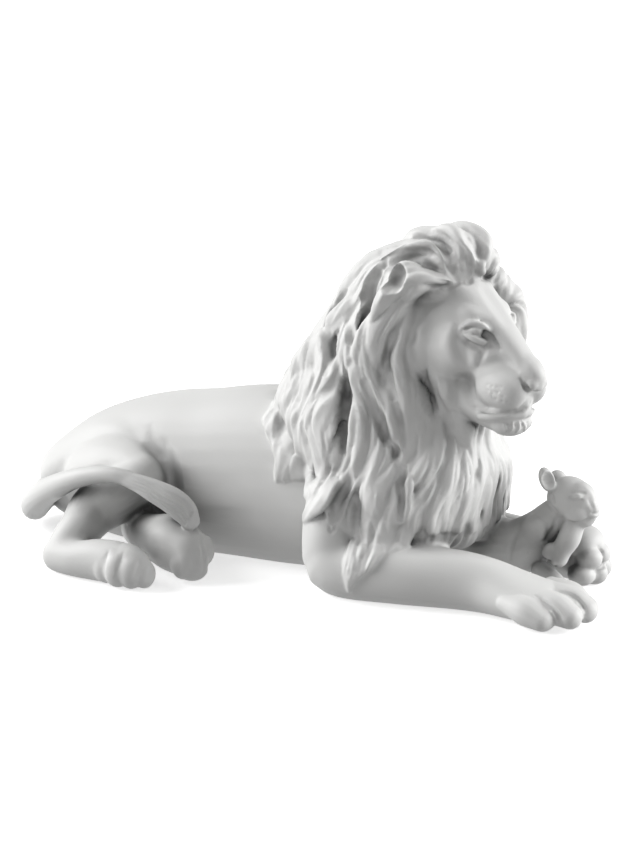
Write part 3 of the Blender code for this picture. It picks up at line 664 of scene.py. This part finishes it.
class Clouds:
    """Soft random values that fill space."""

    def __init__(self, seed, cell):
        self.cell = cell
        self.values = np.random.default_rng(seed).normal(size=(37, 41, 43))

    def at(self, points):
        turned = points @ np.array(Euler((0.5, 0.4, 0.3)).to_matrix())
        return between_cells(self.values, turned / self.cell)


class HairField:
    """The way the hair runs near the mane's surface, kept in small cells."""

    def __init__(self, points, normals, runs, cell=5.0):
        self.cell, self.low = cell, points.min(0) - 2.5 * cell
        shape = np.ceil((points.max(0) - self.low) / cell).astype(int) + 4
        count = int(shape.prod())
        i, j, k = np.round((points - self.low) / cell).astype(int).T
        where = (i * shape[1] + j) * shape[2] + k
        normal = np.stack([np.bincount(where, normals[:, axis], count) for axis in range(3)], 1)
        normal = self.spread(normal.reshape(*shape, 3), 2).reshape(-1, 3)
        used = np.nonzero((normal**2).sum(1) > 1e-6)[0]
        normal = normal[used] / np.linalg.norm(normal[used], axis=1)[:, None]
        places = np.stack(np.unravel_index(used, shape), 1) * cell + self.low
        starts = np.vstack([p[:-1] for p in runs])
        ways = np.vstack([np.diff(p, axis=0) for p in runs])
        ways /= np.linalg.norm(ways, axis=1)[:, None]
        run = np.zeros_like(places)
        for part in np.array_split(np.arange(len(places)), max(1, len(places) // 1000)):
            gap = ((places[part][:, None] - starts) ** 2).sum(2)
            run[part] = (1 / (gap + RUN_BLUR) ** 2) @ ways + OPEN_PULL * open_flow(places[part])
        turn = HAIR_WANDER * Clouds(LOCK_SEED, WANDER_CELL).at(places)[:, None]
        run -= normal * (run * normal).sum(1)[:, None]
        run /= np.maximum(np.linalg.norm(run, axis=1), 1e-12)[:, None]
        run = run * np.cos(turn) + np.cross(normal, run) * np.sin(turn)
        ways = np.zeros((count, 3))
        ways[used] = run
        ways = self.spread(ways.reshape(*shape, 3), 1)
        self.ways = ways / np.maximum(np.linalg.norm(ways, axis=3), 1e-9)[..., None]

    def spread(self, cells, times):
        for _ in range(times):
            for axis in range(3):
                cells = cells + np.roll(cells, 1, axis) + np.roll(cells, -1, axis)
        return cells

    def streaks(self, points, scales, step=3.5):
        """For each pair of cloud size and reach, clouds drawn out along the hair, on a spread of about 1."""
        clouds = [Clouds(LOCK_SEED + number, cell) for number, (cell, _) in enumerate(scales)]
        totals = [cloud.at(points) for cloud in clouds]
        for way in (1, -1):
            p = points.copy()
            for k in range(int(max(reach for _, reach in scales) / step)):
                p += way * step * between_cells(self.ways, (p - self.low) / self.cell)
                for number, (_, reach) in enumerate(scales):
                    share = (k + 1) * step / reach
                    if share < 1:
                        totals[number] += math.cos(share * math.pi / 2) * clouds[number].at(p)
        return [total / total.std() for total in totals]


def open_flow(places):
    """The hair's rough run where no lock is near: away from the face, then down."""
    away = places - head_point(*FACE)
    length = np.linalg.norm(away, axis=1)[:, None]
    fall = np.clip((length - FACE_HAIR) / FALL_RUN, 0, 1)
    down = np.full(places.shape, (-0.12, 0.1, -1.0))
    down[places[:, 1] <= 0, 1] = -0.1
    return away / length * (1 - fall) + down * fall


def hair_share(piece, hair_parts, other_parts):
    """How far each point belongs to the hair, from 0 to 1, by whether its parts lie nearer than the rest."""
    points, _ = points_of(piece)
    low, high = HAIR_BOX
    share = np.zeros(len(points))
    for k in np.nonzero(((points > low) & (points < high)).all(1))[0]:
        share[k] = other_parts.find_nearest(points[k])[3] - hair_parts.find_nearest(points[k])[3]
    return np.clip((share - HAIR_EDGE) / HAIR_BLEND, 0, 1)


def comb(piece, runs, share, depth):
    """Draws wavy locks and strands into the hair."""
    points, normals = points_of(piece)
    near = np.nonzero(share)[0]
    field = HairField(points[near], normals[near], runs)
    relief = np.zeros(len(near))
    for value, height in zip(field.streaks(points[near], STRAND_SCALES), STRAND_HEIGHTS):
        relief += height * (np.minimum(np.abs(value), STRAND_CREST) - STRAND_LEVEL)
    points[near] += normals[near] * (depth * share[near] * relief)[:, None]
    put_points(piece, points)


# Carving


def both_sides(strokes):
    """Strokes on the turned head, given as f, s, z and radius on the near side, for both sides."""
    made_for = []
    for rows, depth in strokes:
        for s in (1, -1):
            made_for.append(([(*head_point(f, s * abs(across), z), r) for f, across, z, r in rows], depth))
    return made_for


def eye_strokes():
    """Brow, the dark wedge at the eye's inner corner, the folds of the cheek and the cheek bone."""
    return both_sides([
        ([(72, 29, 264, 7), (84, 27, 265, 9), (96, 17, 259, 7)], 1),
        ([(81, 29, 246.5, 1.4), (87, 27.5, 250, 1.8), (93, 24, 250, 1.8), (98, 19, 247, 1.4)], -1.8),
        ([(82, 29, 244.5, 1.4), (88, 28, 244, 1.8), (94, 24.5, 243, 1.8), (98.5, 19.5, 242.5, 1.4)], -1.5),
        ([(94, 20.5, 254, 2), (98, 16, 247.5, 3), (103, 12.5, 240.5, 3.4), (111, 12.5, 232, 2.2)], -2.8),
        ([(80, 31, 241, 4), (88, 27, 235.5, 5), (97, 23, 231, 4)], -1.5),
        ([(90, 27, 234, 5), (93, 28, 226, 7), (92, 26, 216, 5)], 1.6),
        ([(101, 19, 234, 3), (99, 21.5, 226, 5), (96, 23.5, 217, 3)], -2),
        ([(74, 35, 251, 5), (72, 39, 238, 9), (76, 39, 225, 9), (83, 32, 211, 6)], 1.5),
        ([(79, 34, 244, 4), (81, 33, 231, 8), (86, 29, 219, 5)], -1.4),
        ([(46, 40, 268, 14), (54, 38, 254, 20), (60, 36, 240, 14)], -2.5),
    ])


def muzzle_strokes():
    """Mouth, nostrils, the nose's cleft, whisker pits, and the small curls of the chin."""
    strokes = both_sides([
        ([(92, 25, 180, 1.6), (106, 24, 177.5, 3.2), (121, 20, 178, 3.4), (131, 11, 180, 3),
          (135, 4, 181.5, 2.4)], -2.8),
        ([(135, 13.5, 209, 2), (138, 11.5, 203, 3.2), (141, 7, 199, 3), (144, 4, 199, 2)], -3.4),
        ([(93, 27, 213, 5), (107, 23, 220, 7), (118, 16, 223, 7), (131, 13, 216, 4)], -2),
        ([(93, 27, 217, 5), (86, 28, 203, 9), (87, 27, 190, 9), (92, 25, 179, 5)], -1.6),
    ])
    rnd = random.Random(LOCK_SEED)
    for row, z in enumerate((203, 198, 193)):
        for k in range(4):
            f = 111 + 4.5 * k + 2 * row + rnd.uniform(-1, 1)
            strokes += both_sides([([(f, 27 - 1.4 * k, z - 0.6 * k + rnd.uniform(-1, 1), 1.9)], -0.9)])
    for k in range(6):
        s = -18 + 6 * k
        f = 112 + 14 * math.cos(s / 20)
        lean = 3 * math.cos(2.2 * k)
        curl = [(f - 1, s - lean, 171, 1.2), (f + 2, s, 165, 2), (f, s + lean, 159, 1.2)]
        strokes.append(([(*head_point(a, b, c), r) for a, b, c, r in curl], 1.3))
        gap = [(f + 1, s + 3, 167, 1.6), (f + 1, s + 3 - lean, 160, 1.2)]
        strokes.append(([(*head_point(a, b, c), r) for a, b, c, r in gap], -1))
    cleft = [(147, 0, 199, 1.2), (143, 0, 192, 2.4), (138, 0, 186, 1.6)]
    strokes.append(([(*head_point(a, b, c), r) for a, b, c, r in cleft], -1.6))
    return strokes


def with_mirrored(near):
    """Strokes of the near side, each followed by its twin on the far side."""
    strokes = []
    for rows, depth in near:
        strokes += [(rows, depth), ([(*mirrored(p), p[3]) for p in rows], depth)]
    return strokes


def brow_strokes():
    """The ridges of the hair over the brow, the hollows between them, and those beside the face."""
    near = [
        ([(116, -18, 325, 3), (136, -19, 331, 7), (152, -22, 329, 9), (163, -28, 321, 8),
          (172, -27, 311, 8), (177, -19, 298, 6), (177, -7, 287, 3)], 6),
        ([(92, -40, 300, 3), (108, -41, 311, 7), (126, -41, 318, 9), (143, -40, 317, 8),
          (153, -42, 305, 7), (154, -38, 291, 4)], 6),
        ([(156, -36, 310, 5), (160, -36, 303, 8), (164, -36, 295, 6)], 3),
        ([(186, 6, 290, 4), (184, 2, 306, 8), (174, -2, 320, 9), (152, -6, 331, 7), (132, -8, 334, 3)], 1.5),
        ([(116, -24, 326, 7), (134, -26, 325, 11), (148, -30, 317, 11), (158, -33, 306, 7)], -7),
        ([(168, -14, 322, 5), (177, -19, 310, 9), (181, -14, 298, 9), (180, -6, 287, 5)], -2.2),
        ([(100, -42, 296, 9), (116, -43, 304, 14), (132, -43, 307, 13), (146, -43, 298, 8)], -8),
        ([(84, -34, 312, 6), (104, -32, 320, 9), (124, -32, 324, 8)], -3),
        ([(156, -37, 284, 6), (163, -34, 286, 7), (170, -26, 286, 6)], -4),
        ([(150, -43, 271, 6), (137, -48, 268, 10), (130, -50, 251, 10), (128, -50, 236, 8)], -4),
        ([(134, -48, 250, 8), (129, -49, 226, 13), (134, -45, 204, 13), (145, -46, 186, 10)], -1.5),
        ([(142, -44, 200, 10), (150, -40, 180, 15), (158, -38, 160, 15), (166, -38, 142, 10)], -6),
        ([(120, -62, 240, 5), (112, -63, 218, 8), (112, -70, 203, 8), (120, -73, 184, 5)], -5),
    ]
    strokes = with_mirrored(near)
    furrow = [(84, 0, 279, 9), (96, 0, 266, 11), (105, 0, 253, 9)]
    strokes.append(([(*head_point(f, s, z), r) for f, s, z, r in furrow], -1.3))
    return strokes


def mane_strokes():
    """The deep valleys between the long locks, on both sides."""
    near = [
        ([(58, -38, 264, 5), (50, -49, 240, 9), (50, -57, 222, 9), (55, -66, 196, 5)], -8),
        ([(96, -40, 298, 5), (88, -44, 277, 9), (84, -50, 260, 9), (87, -62, 238, 5)], -8),
        ([(82, -48, 268, 5), (75, -55, 249, 8), (74, -64, 228, 5)], -5),
        ([(80, -76, 212, 5), (73, -70, 184, 9), (75, -75, 165, 9), (77, -82, 134, 5)], -5),
        ([(95, -78, 196, 5), (106, -77, 172, 9), (114, -74, 157, 9), (126, -73, 136, 5)], -8),
        ([(120, -72, 146, 4), (128, -76, 130, 7), (137, -84, 110, 7), (138, -87, 80, 4)], -3),
        ([(88, -88, 140, 5), (84, -91, 112, 9), (79, -95, 88, 9), (77, -102, 66, 5)], -6),
        ([(36, -69, 150, 5), (43, -73, 128, 9), (46, -72, 106, 5)], -5),
    ]
    return with_mirrored(near)


def body_strokes():
    """The flank's fold before the knee, the clefts and claws of the toes, and the tuft's strands."""
    strokes = [
        ([(-150, -42, 116, 6), (-141, -50, 102, 15), (-134, -56, 88, 20), (-124, -60, 70, 16),
          (-114, -56, 54, 8)], -3),
        ([(-114, -166, 37, 1.2), (-114, -177, 29, 2.8), (-115, -184, 14, 2)], -0.8),
        ([(-100, -165, 37, 1.2), (-100, -177, 28, 2.8), (-101, -183, 12, 2)], -0.8),
        ([(-88, -162, 31, 1.2), (-87, -171, 22, 2.8), (-89, -177, 8, 2)], -0.8),
        ([(-60, -110, 44, 1.5), (-50, -118, 30, 3.4), (-50, -119, 12, 2)], -2),
        ([(-189, -96, 62, 5), (-186, -118, 38, 6), (-190, -140, 34, 5)], -2),
        ([(268, -86, 33, 1.2), (281, -87, 26, 3), (291, -87, 18, 3), (296, -86, 8, 2)], -2),
        ([(276, -64, 35, 1.2), (292, -64, 29, 3), (303, -63, 20, 3), (306, -63, 9, 2)], -2),
        ([(276, -45, 36, 1.2), (291, -44, 29, 3), (300, -43, 18, 3), (302, -43, 8, 2)], -2),
        ([(250, 57, 36, 1.4), (262, 58, 30, 3), (268, 58, 22, 2)], -2),
        ([(247, 50, 20, 1.4), (264, 52, 19, 3), (271, 66, 19, 3), (266, 80, 20, 1.4)], -2),
    ]
    for x, y, z in ((288, -88, 14), (301, -68, 17), (306, -51, 19)):
        strokes.append(([(x - 3, y, z + 6, 2.2), (x + 1, y, z, 2.4), (x + 2, y, z - 5, 2)], 1.6))
    strand = [(-112, -133, 92, 0, 0.9), (-97, -132, 87, 1.5, 2.4), (-81, -128, 80, -1.5, 2.4)]
    strand += [(-69, -122, 70, 1, 2.4), (-63, -118, 60, 0, 2.4)]
    for across in (-8, -4, 0, 4, 8):
        rows = []
        for x, y, z, wave, radius in strand:
            t = across + wave
            rows.append((x + 4 + 0.45 * t, y - 8 + 0.25 * t, z + 2 + 0.8 * t, radius))
        strokes.append((rows, -2.2))
    return strokes


def cub_strokes():
    """The cub's closed eyes, nose, mouth, cheek creases, shoulder and toes."""
    return [
        ([(254, 14, 92, 2), (259, 13, 90.5, 2.4), (264, 15, 91, 2)], -1.8),
        ([(254, 13, 98, 2), (260, 14, 99, 2.4), (266, 18, 97, 2)], -1.4),
        ([(262, 45, 92, 2.4), (266, 40, 91, 2.4)], -1.4),
        ([(262, 24, 98, 2.4), (268, 25, 92, 4), (272, 25, 86, 3)], 0.8),
        ([(268, 19, 92, 1.6), (272, 20, 86, 3), (274, 20, 81, 2)], -1),
        ([(272, 20, 79, 2), (277, 24, 77.5, 2.2), (275, 30, 79, 2)], -1.6),
        ([(254, 14, 70, 2), (262, 15, 71, 2.4), (270, 17, 72, 2.6), (276, 23, 72, 2.6),
          (275, 30, 72, 2)], -1.8),
        ([(231, 16, 84, 2), (235, 13, 80, 2.4), (240, 12, 76, 2)], -2),
        ([(236, 13, 91, 2), (239, 12, 85, 2)], -1.6),
        ([(238, 19, 70, 2), (236, 15, 56, 4), (230, 9, 43, 4), (217, 8, 36, 2)], -3),
        ([(222, 12, 70, 4), (230, 11, 63, 4.4), (230, 10, 52, 4)], 1.6),
        ([(204, 10, 56, 2), (200, 7, 40, 4), (199, 6, 26, 2)], -1.4),
        ([(236, 8, 31, 1.8), (241, 5, 34, 1.8)], -1.6),
        ([(242, 7, 26, 1.8), (247, 5, 29, 1.8)], -1.6),
    ]


# The casting


def sculpt(voxel, strand_depth):
    """The whole figure as one mesh, in its own units."""
    masses = made("masses", torso, hind_legs, fore_legs, mane_mass, skull)
    base = fused([masses], MASS_VOXEL, smooth=12)
    finished(base, "SUBSURF", levels=1, render_levels=1)
    skin = Skin(base)
    forms = made("forms", tail, cub, face, ears, near_paw, far_paw, hind_paws)
    hair = made("hair", lambda bm: mane(bm, skin))
    hair_parts = tree_of(mane_mass, copy_of(hair))
    other_parts = tree_of(torso, hind_legs, fore_legs, skull, tail, cub, face, near_paw, far_paw)
    figure = fused([base, forms, hair], voxel, smooth=8)
    share = hair_share(figure, hair_parts, other_parts)
    carve(figure, brow_strokes() + mane_strokes(), skin)
    comb(figure, skin.runs, share, strand_depth)
    for s in (-1, 1):
        into = Vector(head_point(0, -s, 0)) - Vector(head_point(0, 0, 0)) - Vector((0.35, 0, 0))
        scoop(figure, head_point(26, s * 60, 290), (12.5, 17, 13.5), (0, 0, HEAD_TURN - 10 * s), into)
    scoop(figure, (236, 8, 106), (8, 8, 9.5), (0, 0, 35), (-0.7, 0.7, -0.1))
    carve(figure, eye_strokes() + muzzle_strokes())
    carve(figure, body_strokes() + cub_strokes())
    return figure


def outer_shell(piece):
    """Keeps the largest shell alone, so no void is left inside."""
    bm = bmesh.new()
    bm.from_mesh(piece.data)
    bm.verts.ensure_lookup_table()
    left, best = set(bm.verts), []
    while left:
        shell, edge = set(), {left.pop()}
        while edge:
            shell |= edge
            edge = {e.other_vert(v) for v in edge for e in v.link_edges} - shell
        left -= shell
        best = max(best, shell, key=len)
    best = set(best)
    bmesh.ops.delete(bm, geom=[v for v in bm.verts if v not in best], context="VERTS")
    bm.to_mesh(piece.data)
    bm.free()


def stood(piece, height):
    """Levels whatever lies below a height, which makes the flat underside."""
    points, _ = points_of(piece)
    points[:, 2] = np.maximum(points[:, 2], height)
    put_points(piece, points)


def fitted(piece, box):
    """Scales the piece evenly to a box's length, and stands it in the box's middle."""
    points, _ = points_of(piece)
    low, high = points.min(0), points.max(0)
    scale = (box[1].x - box[0].x) / (high[0] - low[0])
    middle = (low + high) / 2
    target = (Vector(box[0]) + Vector(box[1])) / 2
    points = (points - (middle[0], middle[1], low[2])) * scale + (target.x, target.y, box[0].z)
    put_points(piece, points)


def porcelain(colour, painted_shade_colour, roughness):
    """Unglazed white porcelain: a soft sheen, a fine grain, and painted shade that darkens its colour in
    recesses.
    """
    material = bpy.data.materials.new("bisque_porcelain")
    material.use_nodes = True
    tree = material.node_tree
    shader = tree.nodes["Principled BSDF"]
    places = tree.nodes.new("ShaderNodeTexCoord")
    clouds = tree.nodes.new("ShaderNodeTexNoise")
    clouds.inputs["Scale"].default_value = 22
    clouds.inputs["Detail"].default_value = 4
    grain = tree.nodes.new("ShaderNodeTexNoise")
    grain.inputs["Scale"].default_value = 900
    grain.inputs["Detail"].default_value = 3
    # Reads the painted shade baked into the mesh.
    painted_shade = tree.nodes.new("ShaderNodeAttribute")
    painted_shade.attribute_name = "painted_shade"
    # Painted shade: the colour darkens towards the recess colour where the figure is closed in.
    painted_shade_mix = tree.nodes.new("ShaderNodeMix")
    painted_shade_mix.data_type = "RGBA"
    painted_shade_mix.inputs["A"].default_value = (*colour, 1)
    painted_shade_mix.inputs["B"].default_value = (*painted_shade_colour, 1)
    polish = tree.nodes.new("ShaderNodeMapRange")
    polish.inputs["To Min"].default_value = roughness - 0.05
    polish.inputs["To Max"].default_value = roughness + 0.07
    bump = tree.nodes.new("ShaderNodeBump")
    bump.inputs["Strength"].default_value = 0.12
    bump.inputs["Distance"].default_value = 0.0004
    for noise in (clouds, grain):
        tree.links.new(places.outputs["Object"], noise.inputs["Vector"])
    tree.links.new(painted_shade.outputs["Fac"], painted_shade_mix.inputs["Factor"])
    tree.links.new(painted_shade_mix.outputs["Result"], shader.inputs["Base Color"])
    tree.links.new(clouds.outputs["Fac"], polish.inputs["Value"])
    tree.links.new(polish.outputs["Result"], shader.inputs["Roughness"])
    tree.links.new(grain.outputs["Fac"], bump.inputs["Height"])
    tree.links.new(bump.outputs["Normal"], shader.inputs["Normal"])
    shader.inputs["Specular IOR Level"].default_value = 0.4
    return material


def mark_painted_shade(piece):
    """Stores how closed in each place is by the forms round it, from 0 to 1, as painted shade that darkens
    its colour.
    """
    tree = BVHTree.FromObject(piece, bpy.context.evaluated_depsgraph_get())
    points, normals = points_of(piece)
    reach = SHADE_REACH * piece.dimensions.x
    shade, most = np.zeros(len(points)), np.zeros(len(points))
    for k in range(SHADE_RAYS):
        z = 1 - (2 * k + 1) / SHADE_RAYS
        a = k * math.pi * (3 - math.sqrt(5))
        way = Vector((math.cos(a) * math.sqrt(1 - z * z), math.sin(a) * math.sqrt(1 - z * z), z))
        facing = normals @ way
        for i in np.nonzero(facing > SHADE_FACING)[0]:
            away = tree.ray_cast(points[i] + normals[i] * SHADE_LIFT * reach, way, reach)[3]
            most[i] += facing[i]
            if away is not None:
                shade[i] += facing[i] * (1 - away / reach)
    shade /= np.maximum(most, 1e-6)
    values = np.clip((evened(piece, shade, 3) - SHADE_LEAST) * SHADE_GAIN, 0, 1).astype(np.float32)
    # Stored on the mesh as painted shade, which the material turns into darker colour.
    piece.data.attributes.new("painted_shade", "FLOAT", "POINT").data.foreach_set("value", values)


# Settings


class FigurineSettings(PropertyGroup):
    """What a user would change about the casting."""

    voxel: FloatProperty(
        name="Detail", description="Size of the finest form, in the figure's units",
        default=CAST_VOXEL, min=0.8, max=4,
    )
    triangles: IntProperty(
        name="Triangles", description="Most triangles of the casting", default=197000, min=20000, max=199000
    )
    strands: FloatProperty(
        name="Strand depth", description="Depth of the hair's strands, 1 as modelled", default=1.0, min=0
    )
    colour: FloatVectorProperty(
        name="Porcelain", description="Colour of the bisque",
        subtype="COLOR", default=(0.72, 0.72, 0.71), min=0, max=1,
    )
    # Painted shade: the colour that the deepest recesses are darkened to, standing in for shadow there.
    painted_shade_colour: FloatVectorProperty(
        name="Recesses", description="Colour of the bisque deep in a fold",
        subtype="COLOR", default=(0.12, 0.12, 0.12), min=0, max=1,
    )
    roughness: FloatProperty(
        name="Roughness", description="How matt the bisque is",
        subtype="FACTOR", default=0.5, min=0.2, max=0.9,
    )


class StudioSettings(PropertyGroup):
    """What a user would change about the studio."""

    floor: FloatVectorProperty(
        name="Floor", description="Colour of the floor",
        subtype="COLOR", default=(0.9, 0.9, 0.9), min=0, max=1,
    )
    glow: FloatProperty(
        name="Floor glow", description="The floor's own light, which keeps shadows pale", default=0.6, min=0
    )
    key: FloatProperty(name="Key light", description="Strength of the left light", default=3.3, min=0)
    fill: FloatProperty(name="Fill light", description="Strength of the right light", default=3.3, min=0)
    sky: FloatProperty(name="Sky", description="Strength of the even light all round", default=0.33, min=0)
    azimuth: FloatProperty(
        name="Azimuth", description="How far round the camera is", subtype="ANGLE", default=math.radians(30)
    )
    elevation: FloatProperty(
        name="Elevation", description="How far it looks down", subtype="ANGLE", default=math.radians(14)
    )


# Operators


class FIGURINE_OT_casting(Operator):
    """Models the lion and its cub as one porcelain casting"""

    bl_idname = "figurine.casting"
    bl_label = "Lion and Cub"

    def execute(self, context):
        settings = context.scene.figurine
        piece = sculpt(settings.voxel, settings.strands)
        stood(piece, GROUND)
        finished(piece, "DECIMATE", ratio=settings.triangles / (2 * len(piece.data.polygons)))
        outer_shell(piece)
        stood(piece, GROUND)
        fitted(piece, SOLID_BOX)
        # Bakes painted shade into the recesses, from how closed in each place is.
        mark_painted_shade(piece)
        piece.name = piece.data.name = "lion_and_cub_casting"
        only(piece)
        bpy.ops.object.shade_smooth()
        piece.data.materials.clear()
        piece.data.materials.append(porcelain(settings.colour, settings.painted_shade_colour, settings.roughness))
        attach(piece, "root")
        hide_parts(SOLID)
        return {"FINISHED"}


def sun(name, way, strength, spread):
    """A broad light from a direction. Spread is the angle that it fills."""
    data = bpy.data.lights.new(name, "SUN")
    data.energy = strength
    data.angle = math.radians(spread)
    light = bpy.data.objects.new(name, data)
    light.rotation_euler = Vector(way).to_track_quat("Z", "Y").to_euler()
    bpy.context.scene.collection.objects.link(light)


class FIGURINE_OT_studio(Operator):
    """Adds the pale floor, the soft lights and the camera"""

    bl_idname = "figurine.studio"
    bl_label = "Studio"

    def execute(self, context):
        settings = context.scene.studio
        low, high = SOLID_BOX
        size = high - low
        bpy.ops.object.select_all(action="DESELECT")
        bpy.ops.mesh.primitive_plane_add(size=30 * size.x, location=(0, 0, low.z))
        floor = context.object
        floor.name = "studio_floor"
        material = bpy.data.materials.new("studio_floor")
        material.use_nodes = True
        shader = material.node_tree.nodes["Principled BSDF"]
        shader.inputs["Base Color"].default_value = (*settings.floor, 1)
        shader.inputs["Roughness"].default_value = 0.9
        shader.inputs["Emission Color"].default_value = (*settings.floor, 1)
        shader.inputs["Emission Strength"].default_value = settings.glow
        floor.data.materials.append(material)
        floor.visible_diffuse = False
        sun("key", KEY_WAY, settings.key, KEY_SPREAD)
        sun("fill", FILL_WAY, settings.fill, FILL_SPREAD)
        world = bpy.data.worlds.new("studio")
        world.use_nodes = True
        world.node_tree.nodes["Background"].inputs["Color"].default_value = (1, 1, 1, 1)
        world.node_tree.nodes["Background"].inputs["Strength"].default_value = settings.sky
        context.scene.world = world
        context.scene.view_settings.view_transform = "Standard"
        a, e = settings.azimuth, settings.elevation
        back = Vector((math.sin(a) * math.cos(e), -math.cos(a) * math.cos(e), math.sin(e)))
        data = bpy.data.cameras.new("camera")
        camera = bpy.data.objects.new("camera", data)
        context.scene.collection.objects.link(camera)
        aim = low + Vector(AIM) * size
        camera.location = aim + back * CAMERA_DISTANCE * size.x
        camera.rotation_euler = (-back).to_track_quat("-Z", "Y").to_euler()
        data.sensor_width = SENSOR
        data.lens = LENS
        context.scene.camera = camera
        return {"FINISHED"}


class FIGURINE_PT_panel(Panel):
    """Lists the casting and the studio in the sidebar"""

    bl_label = "Lion and Cub"
    bl_space_type = "VIEW_3D"
    bl_region_type = "UI"
    bl_category = "Figurine"

    def draw(self, context):
        scene = context.scene
        for group, operator in ((scene.figurine, FIGURINE_OT_casting), (scene.studio, FIGURINE_OT_studio)):
            box = self.layout.box()
            for name in group.__annotations__:
                box.prop(group, name)
            box.operator(operator.bl_idname)


CLASSES = (FigurineSettings, StudioSettings, FIGURINE_OT_casting, FIGURINE_OT_studio, FIGURINE_PT_panel)


def register():
    for cls in CLASSES:
        bpy.utils.register_class(cls)
    bpy.types.Scene.figurine = PointerProperty(type=FigurineSettings)
    bpy.types.Scene.studio = PointerProperty(type=StudioSettings)


def unregister():
    del bpy.types.Scene.studio
    del bpy.types.Scene.figurine
    for cls in reversed(CLASSES):
        bpy.utils.unregister_class(cls)


def main():
    register()
    bpy.ops.figurine.casting()
    bpy.ops.figurine.studio()


if __name__ == "__main__":
    main()
